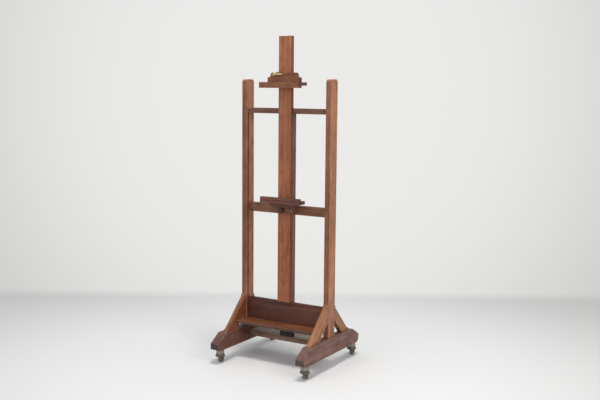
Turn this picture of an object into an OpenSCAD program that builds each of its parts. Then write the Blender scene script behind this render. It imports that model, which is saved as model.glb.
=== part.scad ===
// Wooden studio easel: an H frame on two long feet with castors, a mast that slides up and down
// on a fixed centre post, and a top clamp and a canvas tray that slide on the mast.
// X is to the right, Y is to the back and Z is up. The origin is on the floor, under the middle
// of the feet. Sizes are in millimetres.

/* [Overall] */
// Height of the mast's top above the floor, with the mast lowered
mast_top_z = 1928; // [1600:1:2320]
// Height of the post tops above the floor
post_top_z = 1680; // [1400:1:2020]
// Width across the outer faces of the feet
overall_w = 648; // [540:1:780]
// Length of each foot, front to back
foot_len = 658; // [548:1:790]

/* [Stock] */
// Thickness of the planed boards of the posts, braces, rails, centre post and mast
stock_t = 31; // [25:0.5:38]
// Thickness of the boards of the tray and of the clamp's ledge
ledge_t = 19; // [15:0.5:23]
// Thickness of the panel boards
panel_t = 15; // [12:0.5:18]
// Thickness of every tenon
tenon_t = 15; // [12:0.5:18]

/* [Feet] */
// Width of each foot
foot_w = 60; // [50:1:72]
// Height of each foot
foot_h = 96; // [80:1:115]
// Length of the slope on top of the toe
toe_run = 79; // [60:1:95]
// Drop of the slope on top of the toe
toe_drop = 52; // [36:1:60]
// Length of the slope on top of the heel
heel_run = 80; // [64:1:96]
// Drop of the slope on top of the heel
heel_drop = 47; // [36:1:58]
// Length of the bevel under the toe
toe_under = 39; // [20:1:41]
// Height of the bevel under the toe
toe_lift = 8; // [4:1:16]
// Length of the bevel under the heel
heel_under = 23; // [12:1:24]
// Height of the bevel under the heel
heel_lift = 14; // [6:1:18]
// Forward lean of the heel's end face
heel_lean = 8; // [0:1:10]

/* [Posts] */
// Depth of each post, front to back
post_w = 79; // [66:1:95]
// Distance of the post's centre behind the middle of the feet
post_y = 9; // [-10:1:20]
// Radius of the rounded corners at the post's top
post_round = 20; // [10:1:26]
// Distance from a post's outer face to its foot's outer face
post_inset = 20; // [14:1:24]
// Depth of the stopped groove in each post's inner face
groove_d = 8; // [5:0.5:10]
// Depth of the tenon under each post
post_tenon = 30; // [20:1:34]
// Shoulder in front of and behind each post's tenon
post_shoulder = 10; // [6:1:16]

/* [Braces] */
// Width of each front brace, square to its length
front_brace_w = 75; // [62:1:88]
// Width of each rear brace, square to its length
rear_brace_w = 64; // [53:1:76]
// Angle of the front braces above the floor
front_brace_angle = 45; // [38:0.5:54]
// Angle of the rear braces above the floor
rear_brace_angle = 46; // [39:0.5:54]
// Distance from the toe's slope to the front brace
front_setback = 16; // [4:1:20]
// Distance from the heel's slope to the rear brace
rear_setback = 17; // [6:1:24]
// Width of the chamfers along the outer edges of the braces
brace_chamfer = 8; // [4:0.5:10]
// Distance from a brace's ends to its chamfers
chamfer_stop = 20; // [12:1:30]

/* [Rails] */
// Depth of the top rail, front to back
top_rail_d = 68; // [57:1:80]
// Length of each post above the top rail
post_horn = 169; // [140:1:200]
// Height of the mid rail's underside
mid_rail_z = 884; // [740:1:1060]
// Height of the mid rail's face
mid_rail_h = 54; // [45:1:65]
// Distance from the centre post's front to the mid rail's front
mid_rail_setback = 12.5; // [10:0.5:16]
// Height of the bottom board's underside
bottom_board_z = 110; // [95:1:112]
// Depth of the bottom board, front to back
bottom_board_d = 110; // [92:1:132]
// Length of the tenons of the rails and the bottom board
rail_tenon = 20; // [14:1:24]
// Distance by which the bottom board reaches in front of the centre post
bottom_board_lead = 3; // [0:1:8]
// Shoulder above and below the mid rail's tenons
rail_shoulder = 8; // [5:1:12]

/* [Panels] */
// Height of the shelf's top
shelf_top_z = 228; // [210:1:250]
// Thickness of the shelf
shelf_t = 16; // [13:0.5:19]
// Length by which the shelf overlaps the front braces
shelf_grip = 47; // [39:1:56]
// Height of the backboard
backboard_h = 131; // [110:1:157]
// Depth to which the backboard and the tray's lip are let in
let_in = 2; // [1:0.5:4]

/* [Mast] */
// Width of the mast and of the centre post
mast_w = 85; // [71:1:102]
// Distance from the post's centre to the centre post's front face
guide_setback = 14; // [8:1:18]
// Depth of the notch in the top rail in which the mast runs
rail_notch = 15; // [12:0.5:18]
// Width of the dovetail key at its base
key_base_w = 16; // [12:1:22]
// Width of the dovetail key at its face
key_face_w = 24; // [18:1:32]
// Thickness of the dovetail key
key_t = 9.5; // [8:0.5:11]
// Height of the key's lower end above the backboard
key_start = 25; // [10:1:60]
// Depth of the mast's side grooves
side_groove_d = 5.5; // [4:0.5:7]
// Width of the mast's side grooves
side_groove_w = 6; // [5:0.5:7]
// Distance from the mast's face to its side grooves
side_groove_in = 5; // [4:0.5:6]
// Height of the lowest key screw above the key's lower end
key_screw_first = 40; // [20:1:60]
// Distance from the mast lock down to the highest key screw
key_screw_last = 60; // [40:1:90]

/* [Top clamp] */
// Distance from the mast's top down to the underside of the ledge
clamp_drop = 285; // [240:1:340]
// Width of the clamp's ledge
ledge_w = 266; // [225:1:320]
// Depth of the ledge, front to back
ledge_d = 99; // [90:1:118]
// Thickness of the hanging lip
clamp_lip_t = 14; // [10:1:18]
// Depth of the hanging lip, front to back
clamp_lip_d = 42; // [34:1:45]
// Width of the block's lower tier
block_w = 212; // [190:1:250]
// Height of each tier of the block
block_tier_h = 28; // [24:1:33]
// Radius of the cove and of the round at each end of the upper tier
block_curve = 14; // [10:1:14]
// Distance from the lower tier's end to the cove
block_step = 6; // [3:1:9]
// Thickness of the block and of the bracket in front of the mast
carrier_wall = 20.5; // [17:0.5:24.5]
// Distance from the mast's back to the ledge's back edge
ledge_setback = 3.5; // [2:0.5:6]
// Distance from the ends of the block and the bracket to their outer screws
carrier_screw_in = 34; // [28:1:40]

/* [Cam lever] */
// Distance from the mast's side to the lever's pivot
cam_offset = 20.5; // [18:0.5:24]
// Height of the pivot above the ledge
cam_z = 44; // [38:1:48]
// Throw of the cam
cam_throw = 2.5; // [1.5:0.25:3.5]
// Thickness of the cam
cam_t = 12; // [8:0.5:12.5]
// Radius of the lever's hub
hub_r = 14; // [11:0.5:16]
// Thickness of the lever's hub
hub_t = 9; // [6:0.5:12]
// Length of the lever, from the pivot to its tip
lever_len = 64; // [52:1:80]
// Half the lever's width at its hub
lever_root = 8.7; // [7:0.1:10.5]
// Half the lever's width at its tip
lever_tip = 5.9; // [4.5:0.1:7]
// Distance from the hub's faces to the lever's arm
lever_inset = 1; // [0.5:0.25:2]

/* [Canvas tray] */
// Height of the tray board's underside above the mast's foot
tray_rise = 597; // [530:1:700]
// Width of the tray
tray_w = 270; // [225:1:324]
// Distance from the tray's front edge to the mast's face
tray_reach = 55.5; // [46:0.5:66]
// Height of the tray's lip above the board
tray_lip_h = 16; // [12:0.5:20]
// Thickness of the tray's lip
tray_lip_t = 25; // [20:0.5:30]
// Width of the bracket at the tray
bracket_top_w = 200; // [180:1:240]
// Width of the bracket at its lower end
bracket_low_w = 90; // [60:1:108]
// Height of the bracket
bracket_h = 60; // [50:1:72]

/* [Runners] */
// Depth to which the runners are let into the block and the bracket
runner_seat = 8; // [5:0.5:10]
// Length of the tray's runners
tray_runner_len = 28; // [20:1:30]
// Length of the clamp's runners
clamp_runner_len = 44; // [30:1:52]
// Distance from a runner's end to the board beside it
runner_inset = 4; // [2:1:6]

/* [Hand screws] */
// Radius of the threaded studs
stud_r = 4; // [3:0.25:5]
// Radius of the hand knobs
knob_r = 15; // [12:0.5:18]
// Length of the hand knobs
knob_len = 24; // [20:1:29]
// Radius of the knob's neck
knob_neck_r = 9; // [7:0.5:11]
// Length of the knob's neck
knob_neck_len = 6; // [4:0.5:8]
// Width of the bevel round the knob
knob_edge = 4; // [2:0.5:6]
// Depth of the stud's bore in the knob
knob_bore = 14.4; // [12:0.2:17]
// Gap between a closed knob and the wood
knob_gap = 2; // [1:0.5:3]
// Outer radius of the threaded inserts
insert_r = 7; // [6:0.25:8.5]
// Length of the threaded inserts
insert_len = 14; // [10:0.5:16]
// Distance from the top rail down to the mast lock
lock_drop = 100; // [60:1:140]
// Distance from the tray board down to the tray's hand screw
tray_lock_drop = 40; // [30:1:44]

/* [Castors] */
// Height of a castor, from the floor to the underside of the foot
castor_h = 80; // [76:1:90]
// Distance from the toe's end to the front castor's pivot
front_castor_in = 57; // [55:1:70]
// Distance from the heel's end to the rear castor's pivot
rear_castor_in = 39; // [39:1:50]
// Distance from the pivot back to the wheel's axle
trail = 9; // [6:0.5:9]
// Radius of a wheel
wheel_r = 21; // [17.5:0.5:22]
// Width of a wheel
wheel_w = 18; // [14:0.5:19]
// Radius of the axle
axle_r = 3; // [2.5:0.25:3.5]
// Radius of the stem
stem_r = 4; // [3.5:0.25:5]
// Length of the stem above the foot's underside
stem_len = 34; // [28:1:40]
// Radius of the hood's neck
neck_r = 24; // [20:0.5:26]
// Height of the hood's neck
neck_h = 12; // [8:0.5:14]
// Radius of the hood's rim
hood_r = 29; // [27:0.5:33]
// Thickness of the hood's metal
hood_t = 2; // [1.5:0.25:2.5]
// Height of the hood's rim above the wheel's axle
hood_over = 17; // [15:0.5:20]
// Half the width of the cheeks beside the wheel, at the top
cheek_half = 10; // [8:0.5:12]
// Gap between the wheel and each cheek
wheel_gap = 2; // [1.5:0.25:3]
// Width of the rounded pad round the axle
axle_pad = 5; // [4:0.5:6]

/* [Fits] */
// Gap between faces that slide on each other
slide_gap = 0.5; // [0.3:0.05:0.8]
// Gap round the runners and the dovetail key
key_gap = 0.3; // [0.2:0.05:0.5]
// Gap round glued and pressed joints
glue_gap = 0.1; // [0.05:0.05:0.2]
// Radial gap between a shaft and its bore
run_gap = 0.05; // [0.02:0.01:0.1]

/* [Hidden] */
$fn = 64;

LEFT = -1;
RIGHT = 1;
FRONT = -1;
REAR = 1;
CUT = 1;

// Heights
foot_top = castor_h + foot_h;
top_rail_top = post_top_z - post_horn;
top_rail_low = top_rail_top - stock_t;
bottom_board_top = bottom_board_z + stock_t;
shelf_low = shelf_top_z - shelf_t;
shelf_mid = shelf_top_z - shelf_t / 2;
mast_low = shelf_top_z + backboard_h;
key_low = mast_low + key_start;
lock_z = top_rail_low - lock_drop;
ledge_low = mast_top_z - clamp_drop;
ledge_top = ledge_low + ledge_t;
tray_low = mast_low + tray_rise;
tray_top = tray_low + ledge_t;
tray_lock_z = tray_low - tray_lock_drop;

// Places across the width, on the right-hand side
foot_out = overall_w / 2;
foot_in = foot_out - foot_w;
foot_mid = foot_out - foot_w / 2;
post_out = foot_out - post_inset;
post_in = post_out - stock_t;
post_mid = post_out - stock_t / 2;
mast_half = mast_w / 2;
notch_half = mast_half + slide_gap;

// Places from front to back
foot_front = -foot_len / 2;
foot_back = foot_len / 2;
post_front = post_y - post_w / 2;
post_back = post_y + post_w / 2;
guide_front = post_y - guide_setback;
guide_back = guide_front + stock_t;
rail_front = guide_front - rail_notch;
panel_front = guide_front - panel_t;
mast_back = guide_front - slide_gap;
mast_front = mast_back - stock_t;
carrier_notch = mast_front - slide_gap;
carrier_front = carrier_notch - carrier_wall;
carrier_back = rail_front - 3 * slide_gap;
mid_rail_front = guide_front + mid_rail_setback;
mid_rail_back = mid_rail_front + stock_t;
bottom_board_front = guide_front - bottom_board_lead;
ledge_back = mast_back - ledge_setback;
ledge_front = ledge_back - ledge_d;
tray_front = mast_front - tray_reach;
panel_low = shelf_top_z - let_in;

// Braces: where each meets the foot and the post
front_toe = foot_front + toe_run + front_setback;
rear_toe = foot_back - heel_run - rear_setback;
front_brace_tan = tan(front_brace_angle);
rear_brace_tan = tan(rear_brace_angle);
front_inner = front_toe + front_brace_w / sin(front_brace_angle);
rear_inner = rear_toe - rear_brace_w / sin(rear_brace_angle);
front_brace_top = foot_top + (post_front - front_toe) * front_brace_tan;
front_brace_low = foot_top + (post_front - front_inner) * front_brace_tan;
rear_brace_top = foot_top + (rear_toe - post_back) * rear_brace_tan;
rear_brace_low = foot_top + (rear_inner - post_back) * rear_brace_tan;
shelf_front = front_inner + (shelf_mid - foot_top) / front_brace_tan - shelf_grip;
chamfer_bar = brace_chamfer * sqrt(2);

// Runners and cam
runner_front = mast_front + side_groove_in + key_gap;
runner_t = side_groove_w - 2 * key_gap;
runner_in = mast_half - side_groove_d + key_gap;
runner_out = notch_half + runner_seat;
tray_runner_low = tray_low - runner_inset - tray_runner_len;
clamp_runner_low = ledge_top + runner_inset;
cam_x = -(mast_half + cam_offset);
cam_pivot_z = ledge_top + cam_z;
cam_r = cam_offset - cam_throw - key_gap;
cam_front = carrier_back + slide_gap;
hub_back = carrier_front - slide_gap;

// Dowels and screws
dowel_r = 5;
dowel_len = 44;
shelf_dowel_r = 4;
shelf_dowel_len = 36;
screw_r = 2;
screw_head_r = 4;
screw_head_h = 2.5;
key_screw_len = 26;
key_screw_count = 5;
ledge_screw_len = 44;
clamp_lip_screw_len = 27;
tray_lip_screw_len = 30;
bracket_screw_len = 44;

// Castors
axle_head_r = 4.5;
axle_head_t = 1.5;
flange_r = neck_r + 2;
flange_t = 2;
socket_wall = 2;
stem_head_r = 7;
stem_head_t = 3;
stem_room = 1;
socket_len = stem_len + stem_room + 1;
hood_top = castor_h - flange_t - slide_gap;
hood_low = wheel_r + hood_over;
neck_low = hood_top - neck_h;
cheek_in = wheel_w / 2 + wheel_gap;
cheek_out = cheek_in + hood_t;
cheek_top = hood_top - hood_t / 2;
front_castor_y = foot_front + front_castor_in;
rear_castor_y = foot_back - rear_castor_in;

// Colours
oak = "#8c5c44";
pale_oak = "#a5714d";
dark_oak = "#5a3a2a";
foot_oak = "#7d5f55";
dowel_wood = "#c49a6c";
brass = "#c8aa78";
steel = "#9a9a98";
knob_brown = "#33231c";
wheel_grey = "#8c867c";

// ---- Helpers ----

// A box between two corners given as ranges along X, Y and Z.
module box(x, y, z) {
  translate([x[0], y[0], z[0]])
    cube([x[1] - x[0], y[1] - y[0], z[1] - z[0]]);
}

// A box given for the right-hand side, placed on the given side.
module side_box(side, x, y, z) {
  if (side == RIGHT) box(x, y, z);
  else box([-x[1], -x[0]], y, z);
}

// Extrudes an outline drawn in Y and Z along X.
module along_x(x) {
  translate([x[0], 0, 0])
    rotate([90, 0, 90])
      linear_extrude(x[1] - x[0])
        children();
}

// Extrudes an outline drawn in Y and Z along X, on the given side.
module side_along_x(side, x) {
  if (side == RIGHT) along_x(x) children();
  else along_x([-x[1], -x[0]]) children();
}

// Extrudes an outline drawn in X and Z along Y.
module along_y(y) {
  translate([0, y[1], 0])
    rotate([90, 0, 0])
      linear_extrude(y[1] - y[0])
        children();
}

// A round bar along X, centred at a point.
module bar_x(at, r, len) {
  translate([at[0] - len / 2, at[1], at[2]])
    rotate([0, 90, 0])
      cylinder(r = r, h = len);
}

// A round bar along Y between two ends.
module bar_y(x, z, y, r) {
  translate([x, y[0], z])
    rotate([-90, 0, 0])
      cylinder(r = r, h = y[1] - y[0]);
}

// A countersunk wood screw with its head at the origin, pointing down.
module wood_screw(len, gap = 0) {
  translate([0, 0, -screw_head_h])
    cylinder(r1 = screw_r + gap, r2 = screw_head_r + gap, h = screw_head_h);
  translate([0, 0, -len - gap])
    cylinder(r = screw_r + gap, h = len + gap);
}

// ---- Feet, posts and braces ----

module castor_holes() {
  for (y = [front_castor_y, rear_castor_y])
    translate([foot_mid, y, castor_h - CUT])
      cylinder(r = stem_r + run_gap + socket_wall + glue_gap, h = socket_len + CUT + glue_gap);
}

module sledge(side) {
  low = castor_h;
  color(foot_oak)
    difference() {
      side_along_x(side, [foot_in, foot_out])
        polygon([
          [foot_front, foot_top - toe_drop],
          [foot_front + toe_run, foot_top],
          [foot_back - heel_run, foot_top],
          [foot_back, foot_top - heel_drop],
          [foot_back - heel_lean, low + heel_lift],
          [foot_back - heel_under, low],
          [foot_front + toe_under, low],
          [foot_front, low + toe_lift]
        ]);
      post_foot_tenon(side, glue_gap);
      bottom_board_tenons(glue_gap);
      brace_dowel_set(side, glue_gap);
      mirror([side == LEFT ? 1 : 0, 0, 0])
        castor_holes();
    }
}

// Tenon under a post; a gap enlarges it into its mortise.
module post_foot_tenon(side, gap = 0) {
  side_box(
    side,
    [post_mid - tenon_t / 2 - gap, post_mid + tenon_t / 2 + gap],
    [post_front + post_shoulder - gap, post_back - post_shoulder + gap],
    [foot_top - post_tenon - gap, foot_top + gap]
  );
}

module post_outline() {
  square_top = post_top_z - post_round;
  translate([post_front, foot_top])
    square([post_w, square_top - foot_top]);
  translate([post_front + post_round, foot_top])
    square([post_w - 2 * post_round, post_top_z - foot_top]);
  for (y = [post_front + post_round, post_back - post_round])
    translate([y, square_top])
      circle(r = post_round);
}

module post(side) {
  color(oak)
    difference() {
      union() {
        side_along_x(side, [post_in, post_out])
          post_outline();
        post_foot_tenon(side);
      }
      side_box(
        side,
        [post_in - CUT, post_in + groove_d],
        [panel_front - glue_gap, guide_front + glue_gap],
        [panel_low, top_rail_low]
      );
      top_rail_tenons(glue_gap);
      mid_rail_tenons(glue_gap);
      brace_dowel_set(side, glue_gap);
      shelf_dowel_set(glue_gap);
    }
}

module brace(side, end) {
  points = end == FRONT
    ? [
        [front_toe, foot_top],
        [front_inner, foot_top],
        [post_front, front_brace_low],
        [post_front, front_brace_top]
      ]
    : [
        [rear_inner, foot_top],
        [rear_toe, foot_top],
        [post_back, rear_brace_top],
        [post_back, rear_brace_low]
      ];
  color(pale_oak)
    difference() {
      side_along_x(side, [post_in, post_out])
        polygon(points);
      brace_chamfers(side, end);
      brace_dowel_set(side, glue_gap);
      if (end == FRONT) shelf_dowel_set(glue_gap);
    }
}

// Stopped chamfers along a brace's two outer edges, cut by square bars on edge.
module brace_chamfers(side, end) {
  toe = end == FRONT ? front_toe : rear_toe;
  slope = end == FRONT ? front_brace_angle : 180 - rear_brace_angle;
  run = end == FRONT ? post_front - front_toe : rear_toe - post_back;
  len = run / abs(cos(slope)) - 2 * chamfer_stop;
  for (x = [post_in, post_out])
    translate([side * x, toe, foot_top])
      rotate([slope, 0, 0])
        translate([0, chamfer_stop, 0])
          rotate([0, 45, 0])
            translate([-chamfer_bar / 2, 0, -chamfer_bar / 2])
              cube([chamfer_bar, len, chamfer_bar]);
}

// The four dowels that join one side's braces to the foot and the post.
module brace_dowel_set(side, gap = 0) {
  x = side * post_mid;
  for (y = [(front_toe + front_inner) / 2, (rear_toe + rear_inner) / 2])
    translate([x, y, foot_top - dowel_len / 2 - gap])
      cylinder(r = dowel_r + gap, h = dowel_len + 2 * gap);
  bar_y(
    x,
    (front_brace_top + front_brace_low) / 2,
    [post_front - dowel_len / 2 - gap, post_front + dowel_len / 2 + gap],
    dowel_r + gap
  );
  bar_y(
    x,
    (rear_brace_top + rear_brace_low) / 2,
    [post_back - dowel_len / 2 - gap, post_back + dowel_len / 2 + gap],
    dowel_r + gap
  );
}

module brace_dowels() {
  color(dowel_wood)
    for (side = [LEFT, RIGHT])
      brace_dowel_set(side);
}

// ---- Rails and the centre post ----

module top_rail_tenons(gap = 0) {
  for (side = [LEFT, RIGHT])
    side_box(
      side,
      [post_in - gap, post_in + rail_tenon + gap],
      [post_y - top_rail_d / 4 - gap, post_y + top_rail_d / 4 + gap],
      [top_rail_low + (stock_t - tenon_t) / 2 - gap, top_rail_top - (stock_t - tenon_t) / 2 + gap]
    );
}

module top_rail() {
  color(oak)
    difference() {
      union() {
        box(
          [-post_in, post_in],
          [rail_front, rail_front + top_rail_d],
          [top_rail_low, top_rail_top]
        );
        top_rail_tenons();
      }
      box(
        [-notch_half, notch_half],
        [rail_front - CUT, guide_front],
        [top_rail_low - CUT, top_rail_top + CUT]
      );
      centre_post_tenons(glue_gap);
      key_screw_set(glue_gap);
    }
}

module mid_rail_tenons(gap = 0) {
  y_mid = (mid_rail_front + mid_rail_back) / 2;
  for (side = [LEFT, RIGHT])
    side_box(
      side,
      [post_in - gap, post_in + rail_tenon + gap],
      [y_mid - tenon_t / 2 - gap, y_mid + tenon_t / 2 + gap],
      [mid_rail_z + rail_shoulder - gap, mid_rail_z + mid_rail_h - rail_shoulder + gap]
    );
}

// Plane in which the mid rail and the centre post are halved into each other.
halving_y = (mid_rail_front + guide_back) / 2;

module mid_rail() {
  color(oak)
    difference() {
      union() {
        box(
          [-post_in, post_in],
          [mid_rail_front, mid_rail_back],
          [mid_rail_z, mid_rail_z + mid_rail_h]
        );
        mid_rail_tenons();
      }
      box(
        [-mast_half - glue_gap, mast_half + glue_gap],
        [mid_rail_front - CUT, halving_y],
        [mid_rail_z - CUT, mid_rail_z + mid_rail_h + CUT]
      );
    }
}

module bottom_board_tenons(gap = 0) {
  y_mid = bottom_board_front + bottom_board_d / 2;
  for (side = [LEFT, RIGHT])
    side_box(
      side,
      [foot_in - gap, foot_in + rail_tenon + gap],
      [y_mid - bottom_board_d / 4 - gap, y_mid + bottom_board_d / 4 + gap],
      [
        bottom_board_z + (stock_t - tenon_t) / 2 - gap,
        bottom_board_top - (stock_t - tenon_t) / 2 + gap
      ]
    );
}

module bottom_board() {
  color(foot_oak)
    difference() {
      union() {
        box(
          [-foot_in, foot_in],
          [bottom_board_front, bottom_board_front + bottom_board_d],
          [bottom_board_z, bottom_board_top]
        );
        bottom_board_tenons();
      }
      centre_post_tenons(glue_gap);
    }
}

module centre_post_tenons(gap = 0) {
  y_mid = (guide_front + guide_back) / 2;
  for (z = [[bottom_board_top - rail_tenon, bottom_board_top],
            [top_rail_low, top_rail_low + rail_tenon]])
    box(
      [-mast_w / 4 - gap, mast_w / 4 + gap],
      [y_mid - tenon_t / 2 - gap, y_mid + tenon_t / 2 + gap],
      [z[0] - gap, z[1] + gap]
    );
}

module centre_post() {
  color(oak)
    difference() {
      union() {
        box([-mast_half, mast_half], [guide_front, guide_back], [bottom_board_top, top_rail_low]);
        centre_post_tenons();
      }
      box(
        [-mast_half - CUT, mast_half + CUT],
        [halving_y, guide_back + CUT],
        [mid_rail_z - glue_gap, mid_rail_z + mid_rail_h + glue_gap]
      );
      bar_y(0, lock_z, [guide_front - CUT, guide_back + CUT], stud_r + slide_gap);
      bar_y(0, lock_z, [guide_back - insert_len - glue_gap, guide_back + CUT], insert_r + glue_gap);
      key_screw_set(glue_gap);
    }
}

// ---- Panels ----

module backboard() {
  color(dark_oak)
    box(
      [-post_in - groove_d + slide_gap, post_in + groove_d - slide_gap],
      [panel_front, guide_front],
      [panel_low, mast_low]
    );
}

module shelf() {
  color(pale_oak)
    difference() {
      box([-post_in, post_in], [shelf_front, guide_front], [shelf_low, shelf_top_z]);
      box(
        [-post_in - CUT, post_in + CUT],
        [panel_front - glue_gap, guide_front + CUT],
        [panel_low, shelf_top_z + CUT]
      );
      shelf_dowel_set(glue_gap);
    }
}

// Dowels from the shelf's ends into the front braces and the posts.
module shelf_dowel_set(gap = 0) {
  for (side = [LEFT, RIGHT])
    for (y = [shelf_front + shelf_grip / 2, (post_front + guide_front) / 2])
      bar_x([side * post_in, y, shelf_mid], shelf_dowel_r + gap, shelf_dowel_len + 2 * gap);
}

module shelf_dowels() {
  color(dowel_wood)
    shelf_dowel_set();
}

// ---- Mast, its guide and its lock ----

module key_outline(gap = 0) {
  polygon([
    [-key_base_w / 2 - gap, guide_front + gap],
    [key_base_w / 2 + gap, guide_front + gap],
    [key_face_w / 2 + gap, guide_front - key_t - gap],
    [-key_face_w / 2 - gap, guide_front - key_t - gap]
  ]);
}

module mast_key() {
  color(dowel_wood)
    difference() {
      translate([0, 0, key_low])
        linear_extrude(top_rail_top - key_low)
          key_outline();
      bar_y(0, lock_z, [guide_front - key_t - CUT, guide_front + CUT], stud_r + slide_gap);
      key_screw_set(glue_gap);
    }
}

module key_screw_set(gap = 0) {
  first = key_low + key_screw_first;
  last = lock_z - key_screw_last;
  for (i = [0 : key_screw_count - 1])
    translate([0, guide_front - key_t, first + i * (last - first) / (key_screw_count - 1)])
      rotate([90, 0, 0])
        wood_screw(key_screw_len, gap);
}

module key_screws() {
  color(brass)
    key_screw_set();
}

module mast() {
  color(oak)
    difference() {
      box([-mast_half, mast_half], [mast_front, mast_back], [mast_low, mast_top_z]);
      translate([0, 0, mast_low - CUT])
        linear_extrude(mast_top_z - mast_low + 2 * CUT)
          key_outline(slide_gap + key_gap);
      for (side = [LEFT, RIGHT])
        side_box(
          side,
          [mast_half - side_groove_d, mast_half + CUT],
          [mast_front + side_groove_in, mast_front + side_groove_in + side_groove_w],
          [mast_low - CUT, mast_top_z + CUT]
        );
    }
}

// A threaded brass insert between two planes, bored for its stud.
module insert(z, y) {
  color(brass)
    difference() {
      bar_y(0, z, y, insert_r);
      bar_y(0, z, [y[0] - CUT, y[1] + CUT], stud_r + run_gap);
    }
}

module mast_lock_insert() {
  insert(lock_z, [guide_back - insert_len, guide_back]);
}

// A turned hand knob on the Y axis: neck towards the origin, head along +Y.
module knob_body() {
  rotate([-90, 0, 0])
    difference() {
      rotate_extrude()
        polygon([
          [0, 0], [knob_neck_r, 0], [knob_neck_r, knob_neck_len],
          [knob_r - knob_edge, knob_neck_len], [knob_r, knob_neck_len + knob_edge],
          [knob_r, knob_len - knob_edge], [knob_r - knob_edge, knob_len], [0, knob_len]
        ]);
      translate([0, 0, -CUT])
        cylinder(r = stud_r + glue_gap, h = knob_bore + CUT);
    }
}

knob_seat = knob_bore - 1;
lock_knob_y = guide_back + knob_gap;
lock_tip_y = mast_back - key_t - key_gap;

module mast_lock_knob() {
  color(knob_brown)
    translate([0, lock_knob_y, lock_z])
      knob_body();
}

module mast_lock_stud() {
  color(steel)
    bar_y(0, lock_z, [lock_tip_y, lock_knob_y + knob_seat], stud_r);
}

// ---- Carriers: what the clamp and the tray share ----

// The space that the mast takes up in a carrier, open to the back.
module mast_notch(z) {
  box([-notch_half, notch_half], [carrier_notch, mast_back + 2 * CUT], [z[0] - CUT, z[1] + CUT]);
}

// Two hardwood runners that slide in the mast's side grooves.
module runner_pair(z, gap = 0) {
  for (side = [LEFT, RIGHT])
    side_box(
      side,
      [runner_in - gap, runner_out + gap],
      [runner_front - gap, runner_front + runner_t + gap],
      [z[0] - gap, z[1] + gap]
    );
}

// ---- Top clamp ----

block_screw_x = block_w / 2 - carrier_screw_in;
block_screw_y = (carrier_front + carrier_back) / 2;
lip_screw_xs = [-ledge_w * 3 / 8, -ledge_w / 8, ledge_w / 8, ledge_w * 3 / 8];
clamp_lip_screw_y = ledge_front + clamp_lip_d / 2;
clamp_runner_span = [clamp_runner_low, clamp_runner_low + clamp_runner_len];

module block_outline() {
  half = block_w / 2;
  tier = ledge_top + block_tier_h;
  top = tier + block_tier_h;
  cove_x = half - block_step;
  round_x = cove_x - 2 * block_curve;
  curve_z = top - block_curve;
  translate([-half, ledge_top])
    square([block_w, block_tier_h]);
  difference() {
    translate([-cove_x, tier])
      square([2 * cove_x, curve_z - tier]);
    for (side = [LEFT, RIGHT])
      translate([side * cove_x, curve_z])
        circle(r = block_curve);
  }
  translate([-round_x, tier])
    square([2 * round_x, 2 * block_curve]);
  for (side = [LEFT, RIGHT])
    translate([side * round_x, curve_z])
      circle(r = block_curve);
}

module clamp_block() {
  color(oak)
    difference() {
      along_y([carrier_front, carrier_back])
        block_outline();
      mast_notch([ledge_top, ledge_top + 2 * block_tier_h]);
      runner_pair(clamp_runner_span, glue_gap);
      bar_y(
        cam_x, cam_pivot_z,
        [carrier_front - CUT, carrier_back + CUT],
        stud_r + run_gap
      );
      clamp_screw_set(glue_gap);
    }
}

module clamp_ledge() {
  color(pale_oak)
    difference() {
      box([-ledge_w / 2, ledge_w / 2], [ledge_front, ledge_back], [ledge_low, ledge_top]);
      mast_notch([ledge_low, ledge_top]);
      clamp_screw_set(glue_gap);
    }
}

module clamp_lip() {
  color(oak)
    difference() {
      box(
        [-ledge_w / 2, ledge_w / 2],
        [ledge_front, ledge_front + clamp_lip_d],
        [ledge_low - clamp_lip_t, ledge_low]
      );
      clamp_screw_set(glue_gap);
    }
}

module clamp_runners() {
  color(dowel_wood)
    runner_pair(clamp_runner_span);
}

module clamp_screw_set(gap = 0) {
  for (side = [LEFT, RIGHT])
    translate([side * block_screw_x, block_screw_y, ledge_low])
      rotate([180, 0, 0])
        wood_screw(ledge_screw_len, gap);
  for (x = lip_screw_xs)
    translate([x, clamp_lip_screw_y, ledge_low - clamp_lip_t])
      rotate([180, 0, 0])
        wood_screw(clamp_lip_screw_len, gap);
}

module clamp_screws() {
  color(brass)
    clamp_screw_set();
}

// Eccentric cam and its shaft; the cam's high point faces the mast.
module clamp_cam() {
  color(brass) {
    bar_y(cam_x + cam_throw, cam_pivot_z, [cam_front, cam_front + cam_t], cam_r);
    bar_y(cam_x, cam_pivot_z, [hub_back - hub_t, cam_front], stud_r);
  }
}

module clamp_lever() {
  tip_x = lever_len - lever_tip;
  color(brass)
    difference() {
      translate([cam_x, 0, cam_pivot_z]) {
        bar_y(0, 0, [hub_back - hub_t, hub_back], hub_r);
        along_y([hub_back - hub_t + lever_inset, hub_back - lever_inset]) {
          polygon([
            [0, -lever_root], [tip_x, -lever_tip], [tip_x, lever_tip], [0, lever_root]
          ]);
          translate([tip_x, 0])
            circle(r = lever_tip);
        }
      }
      bar_y(
        cam_x, cam_pivot_z,
        [hub_back - hub_t - CUT, hub_back + CUT],
        stud_r + run_gap
      );
    }
}

// ---- Canvas tray ----

bracket_screw_x = bracket_top_w / 2 - carrier_screw_in;
tray_lip_screw_y = tray_front + tray_lip_t / 2;
tray_screw_xs = [-tray_w * 3 / 8, -tray_w / 8, tray_w / 8, tray_w * 3 / 8];
tray_runner_span = [tray_runner_low, tray_runner_low + tray_runner_len];

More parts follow.
